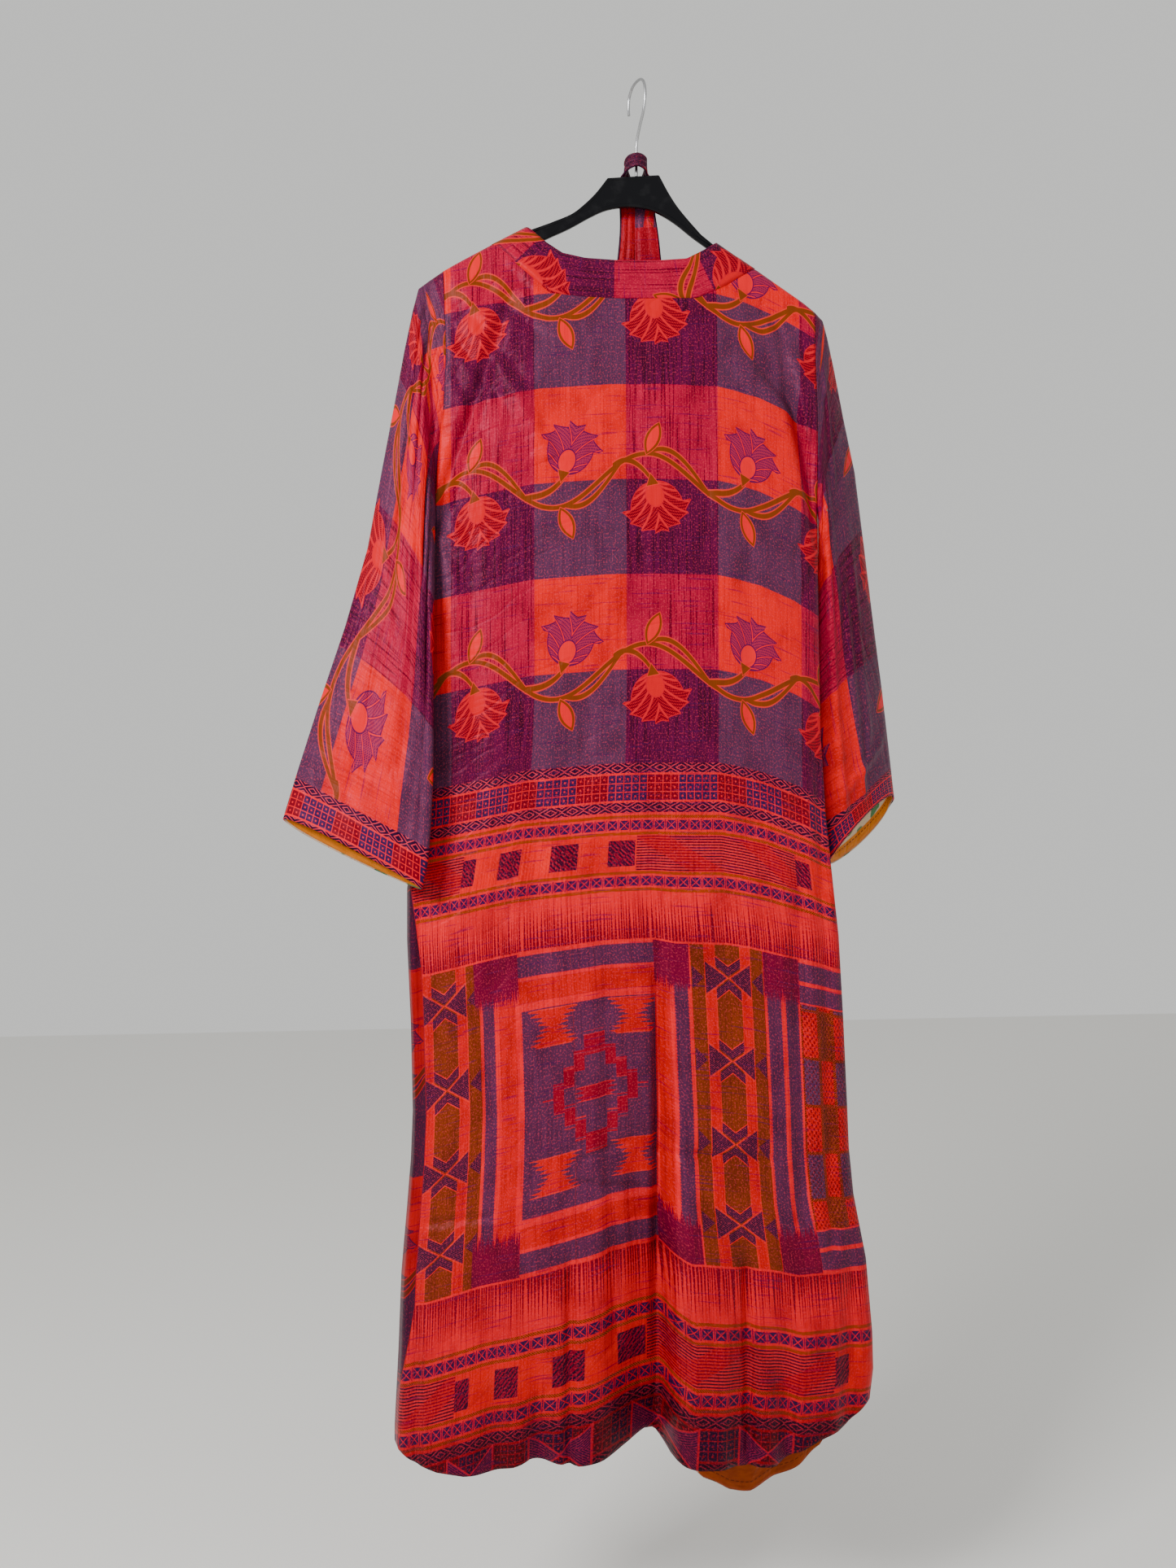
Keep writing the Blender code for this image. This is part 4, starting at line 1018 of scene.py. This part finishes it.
def sleeve_place(side):
    """How one sleeve's grid lies, wrapped round with its seam under the arm."""
    size = (SLEEVE_LENGTH, SLEEVE_LAYER)
    creases = np.array(SLEEVE_CREASES[side]) * (*size, *size, 1.0, 1.0)

    def place(share, down):
        angle, points, normal = sleeve_wall(side, share, down * len(SLEEVES[side]))
        across = 0.5 - 0.5 * np.cos(angle)
        layer = np.sign(np.sin(angle))
        width = CUFF_WIDTH + SLEEVE_FLARE * (1.0 - down)
        run = down * SLEEVE_LENGTH
        relief = crease_depth(run, across * SLEEVE_LAYER, creases)
        relief -= 0.0012 * ripple(run, across * width, 11.0, 0.12, 0.035)
        calm = ease(down / 0.12) * ease((1.0 - down) / 0.13 - 0.15) * np.abs(np.sin(angle))
        points = points - normal * (relief * calm)[:, None]
        cloth_u = 0.200 + CUFF_BORDER - (1.0 - down) * (0.585 - 0.185 * across)
        if side == "left":
            cloth_p = 0.467 + 0.045 * (1.0 - down) ** 2 - layer * across * width
        else:
            cloth_p = 0.472 + layer * across * (0.068 + 0.050 * down)
        return tuple(points.T), (cloth_u, cloth_p)

    return place


def close_tube(sheet):
    """Joins the grid's two side edges, where the seam is."""
    bpy.context.view_layer.objects.active = sheet
    bpy.ops.object.mode_set(mode="EDIT")
    bpy.ops.mesh.select_all(action="SELECT")
    bpy.ops.mesh.remove_doubles(threshold=0.00005)
    bpy.ops.object.mode_set(mode="OBJECT")


def sleeve_colour(u, p):
    """The same print turned lengthwise, ending in the border of squares at the cuff."""
    return square_strips(printed_field(u, p), p, u - 0.2)


sleeve_silk = silk_material("sleeve_silk", sleeve_colour)
for side in ("left", "right"):
    sleeve = cloth_grid(side + "_sleeve_silk", 120, 170, sleeve_place(side))
    close_tube(sleeve)
    give_wall(sleeve, WALL, sleeve_silk, lining_silk)
    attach(sleeve, "root")
    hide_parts(side + "_sleeve")


# Cuff facings. Strips of orange silk turned in at the cuffs and stitched down, with the pale
# leaf-printed lining above them.
FACING_WALL = 0.0009


def stitched(ground, u, p, row, pitch):
    """A row of hand stitches in a darker thread, beside the edge."""
    thread = (p * (1.0 / pitch)).fract().above(0.35, 0.1)
    return (abs(u - row).below(0.0005, 0.0003) * thread).mix(ground, dye(84, 40, 8))


def facing_colour(u, p):
    """Orange silk to its stitched edge, then the printed lining; u is the way in from the edge."""
    leafy = p.grain(u, 0.022, 0.010, 1.0)
    lining = leafy.above(0.56, 0.04).mix(dye(186, 164, 134), dye(70, 112, 72))
    orange = p.grain(u, 0.010, 0.003).mix(dye(150, 74, 8), dye(206, 120, 20))
    return stitched(u.above(0.012, 0.0012).mix(orange, lining), u, p, 0.0085, 0.0052)


facing_silk = silk_material("facing_silk_cloth", facing_colour, 0.45, 0.15)


def cuff_place(side):
    """How one cuff's facing lies, just inside the sleeve's mouth."""

    def place(share, down):
        at = len(SLEEVES[side]) - 0.04 - 1.30 * (1.0 - down)
        _, points, normal = sleeve_wall(side, share, at)
        points = points - normal * (0.0020 * INWARD[side])
        return tuple(points.T), ((1.0 - down) * CUFF_DEPTH, np.abs(share - 0.5) * 2.0 * CUFF_WIDTH)

    return place


for side in ("left", "right"):
    facing = cloth_grid(side + "_cuff_facing_silk", 96, 16, cuff_place(side))
    close_tube(facing)
    give_wall(facing, FACING_WALL, facing_silk, facing_silk)
    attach(facing, "root")
    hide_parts(side + "_cuff_facing")


# Hem facing. The same orange silk, turned up inside the right front's hem, which hangs below
# the back and shows it.
def hem_place(share, down):
    """The facing's points, a little inside the right front's last rows."""
    (x, y, z), _ = front_place("right")(0.02 + 0.88 * share, 0.958 + 0.041 * down)
    return (x, y - 0.0024, z), ((1.0 - down) * 0.054, share * 0.19)


def shaded_hem_colour(u, p):
    """Orange silk, stitched beside its edge, darker than on the cuffs as painted shade."""
    # Painted shade: the cuff facings' orange with darker dyes, for the shade at the bottom of the robe.
    orange = p.grain(u, 0.012, 0.004).mix(dye(104, 40, 6), dye(150, 68, 10))
    return stitched(orange, u, p, 0.0095, 0.0056)


shaded_hem_silk = silk_material("shaded_hem_silk", shaded_hem_colour, 0.45, 0.15)
hem_facing = cloth_grid("hem_facing_silk", 60, 16, hem_place)
give_wall(hem_facing, FACING_WALL, shaded_hem_silk, shaded_hem_silk)
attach(hem_facing, "root")
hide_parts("hem_facing")


# Belt. A loose sash of the robe's silk, sewn double, folded at its middle round the foot of
# the hook so that both ends hang inside the robe.
BELT_ROUTE = np.array((
    # x, y, z, width, twist in degrees
    (-0.043, 0.057, -1.040, 1.00, 0.0), (-0.041, 0.057, -0.900, 1.00, 2.0),
    (-0.038, 0.055, -0.750, 1.00, -2.0), (-0.035, 0.052, -0.600, 1.00, 2.0),
    (-0.030, 0.044, -0.450, 1.00, -2.0), (-0.026, 0.033, -0.330, 0.95, 2.0),
    (-0.0170, 0.022, -0.230, 0.50, 4.0), (-0.0122, 0.014, -0.165, 0.37, 10.0),
    (-0.0122, 0.0140, -0.125, 0.36, 24.0), (-0.0145, 0.0125, -0.101, 0.36, 55.0),
    (-0.0150, 0.0035, -0.090, 0.34, 86.0), (-0.0125, -0.0040, -0.087, 0.32, 90.0),
    (-0.0045, -0.0085, -0.0855, 0.30, 90.0), (0.0035, -0.0040, -0.087, 0.32, 90.0),
    (0.0060, 0.0035, -0.090, 0.34, 94.0), (0.0085, 0.0125, -0.101, 0.36, 125.0),
    (0.0070, 0.0140, -0.125, 0.46, 156.0), (0.0095, 0.014, -0.165, 0.60, 170.0),
    (0.014, 0.022, -0.230, 0.76, 176.0), (0.022, 0.033, -0.330, 0.95, 178.0),
    (0.024, 0.044, -0.450, 1.00, 182.0), (0.025, 0.052, -0.600, 1.00, 178.0),
    (0.027, 0.055, -0.750, 1.00, 182.0), (0.029, 0.057, -0.900, 1.00, 178.0),
    (0.030, 0.057, -1.010, 1.00, 180.0),
))
BELT_WIDTH = 0.045
BELT_STEPS = 16
HOOK_ROW = 12  # the row that lies on the hook


def smooth_line(points, steps):
    """A smooth line through the given rows, with steps from each row to the next."""
    padded = np.concatenate(([2 * points[0] - points[1]], points, [2 * points[-1] - points[-2]]))
    line = []
    for a, b, c, d in zip(padded, padded[1:], padded[2:], padded[3:]):
        for step in range(steps):
            t = step / steps
            line.append(0.5 * (2 * b + (c - a) * t + (2 * a - 5 * b + 4 * c - d) * t ** 2
                               + (3 * b - a - 3 * c + d) * t ** 3))
    return np.array(line + [points[-1]])


BELT_LINE = smooth_line(BELT_ROUTE, BELT_STEPS)
BELT_RUN = line_run(BELT_LINE[:, :3])
BELT_RUN -= BELT_RUN[HOOK_ROW * BELT_STEPS]


def belt_place(share, down):
    """The belt's points, gathered where it turns round the hook."""
    at = np.rint(down * (len(BELT_LINE) - 1)).astype(int)
    tangent = np.gradient(BELT_LINE[:, :3], axis=0)
    tangent /= np.linalg.norm(tangent, axis=1, keepdims=True)
    turn = np.radians(BELT_LINE[:, 4])
    across = np.stack((np.cos(turn), np.zeros_like(turn), np.sin(turn)), axis=1)
    across -= tangent * np.sum(across * tangent, axis=1, keepdims=True)
    across /= np.linalg.norm(across, axis=1, keepdims=True)
    normal = np.cross(tangent, across)
    width = BELT_LINE[at, 3]
    gather = (1.0 - width) * 0.0016 * np.sin(share * 5.0 * math.pi)
    points = BELT_LINE[at, :3] + across[at] * ((share - 0.5) * BELT_WIDTH * width)[:, None]
    points += normal[at] * gather[:, None]
    return tuple(points.T), (share * BELT_WIDTH, BELT_RUN[at])


def belt_colour(u, p):
    """A strip of the check: purple round the hook, then red, with a dark seam along one edge."""
    ground = p.within(-0.040, 0.150, 0.0010).mix(CRIMSON, SLATE)
    ground = p.within(-0.150, -0.040, 0.0010).mix(ground, dye(150, 6, 20))
    ground = (u - p * 0.35).within(-0.020, 0.0005, 0.0010).mix(ground, dye(180, 14, 30))
    ground = (u - 0.018 + abs(p - 0.072) * 0.9).within(-0.001, 0.001, 0.0006).mix(ground, STEM)
    ground = p.within(0.082, 0.160, 0.0010).mix(ground, dye(140, 4, 28))
    deep = ground.deepened(dye(150, 90, 130), 0.6)
    ground = (abs(p) - 0.36).repeat(0.20).within(0.0, 0.10, 0.001).mix(ground, deep)
    ground = slubs(u, p, ground, 0.45)
    return u.below(0.0022, 0.0005).mix(ground, GARNET)


belt = cloth_grid("belt_silk_cloth", 12, len(BELT_LINE) - 1, belt_place)
belt_silk = silk_material("belt_silk_print", belt_colour)
give_wall(belt, 0.0022, belt_silk, belt_silk)
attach(belt, "root")
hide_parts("belt")


# Hanger. One moulding of black plastic, with a thin raised rim round both faces.
HANGER_NECK = np.array((
    # x, z
    (-0.098, -0.155), (-0.076, -0.145), (-0.063, -0.135), (-0.049, -0.121), (-0.036, -0.104),
))
HANGER_NECK_RIGHT = np.array((
    # x, z
    (0.020, -0.098), (0.030, -0.116), (0.040, -0.131), (0.052, -0.145), (0.066, -0.160),
))
HANGER_ARCH = np.array((
    # x, z
    (0.184, -0.246), (0.125, -0.209), (0.074, -0.175), (0.056, -0.163), (0.040, -0.151),
    (0.025, -0.142), (0.010, -0.136), (-0.013, -0.134), (-0.036, -0.138), (-0.055, -0.147),
    (-0.077, -0.160), (-0.105, -0.174), (-0.160, -0.203), (-0.200, -0.224),
))
HANGER_ARMS = (
    # x along the left arm, and along the right arm
    (-0.204, -0.198, -0.160, -0.125), (0.083, 0.125, 0.178, 0.187),
)
HANGER_TOP_GAP = 0.0031
HANGER_THICK = 0.006


def hanger_outline():
    """The moulding's outline, with its curves drawn smooth."""
    left, right = ([(x, shoulder(x) - HANGER_TOP_GAP) for x in side] for side in HANGER_ARMS)
    neck, other, arch = (smooth_line(part, 4) for part in (HANGER_NECK, HANGER_NECK_RIGHT, HANGER_ARCH))
    return [tuple(place) for part in (left, neck, other, right, arch) for place in part]


bpy.ops.object.select_all(action="DESELECT")
bpy.ops.mesh.primitive_circle_add(vertices=len(hanger_outline()), fill_type="NGON")
hanger = bpy.context.object
hanger.name = "hanger_moulding"
for vertex, (x, z) in zip(hanger.data.vertices, hanger_outline()):
    vertex.co = (x, -HANGER_THICK / 2.0, z)
bpy.ops.object.mode_set(mode="EDIT")
bpy.ops.mesh.select_all(action="SELECT")
bpy.ops.mesh.extrude_region_move(TRANSFORM_OT_translate={"value": (0.0, HANGER_THICK, 0.0)})
bpy.ops.mesh.select_all(action="SELECT")
bpy.ops.mesh.normals_make_consistent(inside=False)
bpy.ops.object.mode_set(mode="OBJECT")
rounding = hanger.modifiers.new("edge", "BEVEL")
rounding.width = 0.0016
rounding.segments = 4
rounding.limit_method = "ANGLE"
rounding.angle_limit = math.radians(60.0)
bpy.ops.object.modifier_apply(modifier="edge")
bpy.ops.object.mode_set(mode="EDIT")
bpy.ops.mesh.select_all(action="DESELECT")
bpy.ops.object.mode_set(mode="OBJECT")
for face in hanger.data.polygons:
    face.select = abs(face.normal.y) > 0.99 and face.area > 0.001
bpy.ops.object.mode_set(mode="EDIT")
bpy.ops.mesh.select_mode(type="FACE")
bpy.ops.mesh.inset(thickness=0.0014, depth=0.0)
bpy.ops.mesh.inset(thickness=0.0006, depth=-0.0006)
bpy.ops.object.mode_set(mode="OBJECT")
bpy.ops.object.shade_smooth_by_angle(angle=math.radians(35.0))


def plastic_material():
    """Black moulded plastic with a fine satin texture and a few dull scuffs."""
    material, sockets, start = new_material("moulded_black")
    place = start.node("ShaderNodeTexCoord", {}, {}, out=3)
    fine = start.node("ShaderNodeTexNoise", {}, {"Vector": place, "Scale": 1400.0, "Detail": 2.0})
    scuff = start.node("ShaderNodeTexNoise", {}, {"Vector": place, "Scale": 60.0, "Detail": 4.0})
    colour = scuff.above(0.62, 0.2).mix((0.003, 0.003, 0.004, 1.0), (0.008, 0.008, 0.009, 1.0))
    colour.feed(sockets["Base Color"])
    (fine * 0.06 + scuff * 0.12 + 0.10).feed(sockets["Roughness"])
    relief = {"Strength": 0.12, "Distance": 0.0003, "Height": fine}
    start.node("ShaderNodeBump", {}, relief).feed(sockets["Normal"])
    sockets["Specular IOR Level"].default_value = 0.14
    return material


hanger.data.materials.append(plastic_material())
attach(hanger, "root")
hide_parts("hanger")


# Hook. Round steel wire bent to an open hook, set in the top of the hanger and swivelled until
# it is nearly edge-on.
HOOK_WIRE = np.array((
    # along the hook's plane, z
    (0.000, -0.0998), (0.000, -0.078), (-0.001, -0.064), (-0.008, -0.050), (-0.017, -0.037),
    (-0.0215, -0.022), (-0.0195, -0.0085), (-0.012, -0.0005), (0.000, 0.0016),
    (0.011, -0.001), (0.018, -0.009), (0.0195, -0.020), (0.0185, -0.027),
))
HOOK_FOOT = -0.0045
HOOK_SWIVEL = math.radians(107.0)
bpy.ops.object.select_all(action="DESELECT")
bpy.ops.curve.primitive_nurbs_path_add()
hook = bpy.context.object
hook.name = "hook_wire"
wire = hook.data
wire.splines.clear()
wire.dimensions = "3D"
wire.bevel_depth = 0.0015
wire.bevel_resolution = 5
wire.use_fill_caps = True
route = smooth_line(HOOK_WIRE, 8)
spline = wire.splines.new("POLY")
spline.points.add(len(route) - 1)
for point, (along, z) in zip(spline.points, route):
    point.co = (HOOK_FOOT + along * math.cos(HOOK_SWIVEL), along * math.sin(HOOK_SWIVEL), z, 1.0)
bpy.ops.object.convert(target="MESH")
bpy.ops.object.shade_smooth()


def steel_material():
    """Drawn steel wire: fine marks along it and a grey that varies a little."""
    material, sockets, start = new_material("drawn_steel")
    place = start.node("ShaderNodeTexCoord", {}, {}, out=3)
    stretched = start.node("ShaderNodeMapping", {}, {0: place, 3: (900.0, 900.0, 60.0)})
    marks = start.node("ShaderNodeTexNoise", {}, {"Vector": stretched, "Scale": 1.0, "Detail": 3.0})
    marks.mix((0.30, 0.30, 0.31, 1.0), (0.56, 0.56, 0.57, 1.0)).feed(sockets["Base Color"])
    (marks * 0.25 + 0.18).feed(sockets["Roughness"])
    sockets["Metallic"].default_value = 1.0
    return material


hook.data.materials.append(steel_material())
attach(hook, "root")
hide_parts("hook")


# Light and floor. Soft daylight from a large window in front, and a plain pale floor.
world = bpy.data.worlds.new("studio")
bpy.context.scene.world = world
world.use_nodes = True
sky = world.node_tree.nodes["Background"].inputs
sky["Color"].default_value = (0.92, 0.92, 0.90, 1.0)
sky["Strength"].default_value = 0.80
ROBE_MIDDLE = Vector((0.0, 0.0, -0.85))
for place, size, power in (
    # place, size, power
    ((-1.7, -1.9, 0.5), 0.8, 104.0),
    ((1.9, -1.9, -0.4), 1.4, 9.0),
):
    light = bpy.data.lights.new("window", "AREA")
    light.size = size
    light.energy = power
    lamp = bpy.data.objects.new("window", light)
    lamp.location = place
    lamp.rotation_euler = (ROBE_MIDDLE - lamp.location).to_track_quat("-Z", "Y").to_euler()
    bpy.context.scene.collection.objects.link(lamp)
bpy.ops.object.select_all(action="DESELECT")
bpy.ops.mesh.primitive_grid_add(x_subdivisions=8, y_subdivisions=8, size=9.0, location=(0, 0, -1.75))
floor = bpy.context.object
floor.name = "floor"
plaster, sockets, _ = new_material("pale_floor")
sockets["Base Color"].default_value = (0.80, 0.79, 0.76, 1.0)
sockets["Roughness"].default_value = 0.8
floor.data.materials.append(plaster)
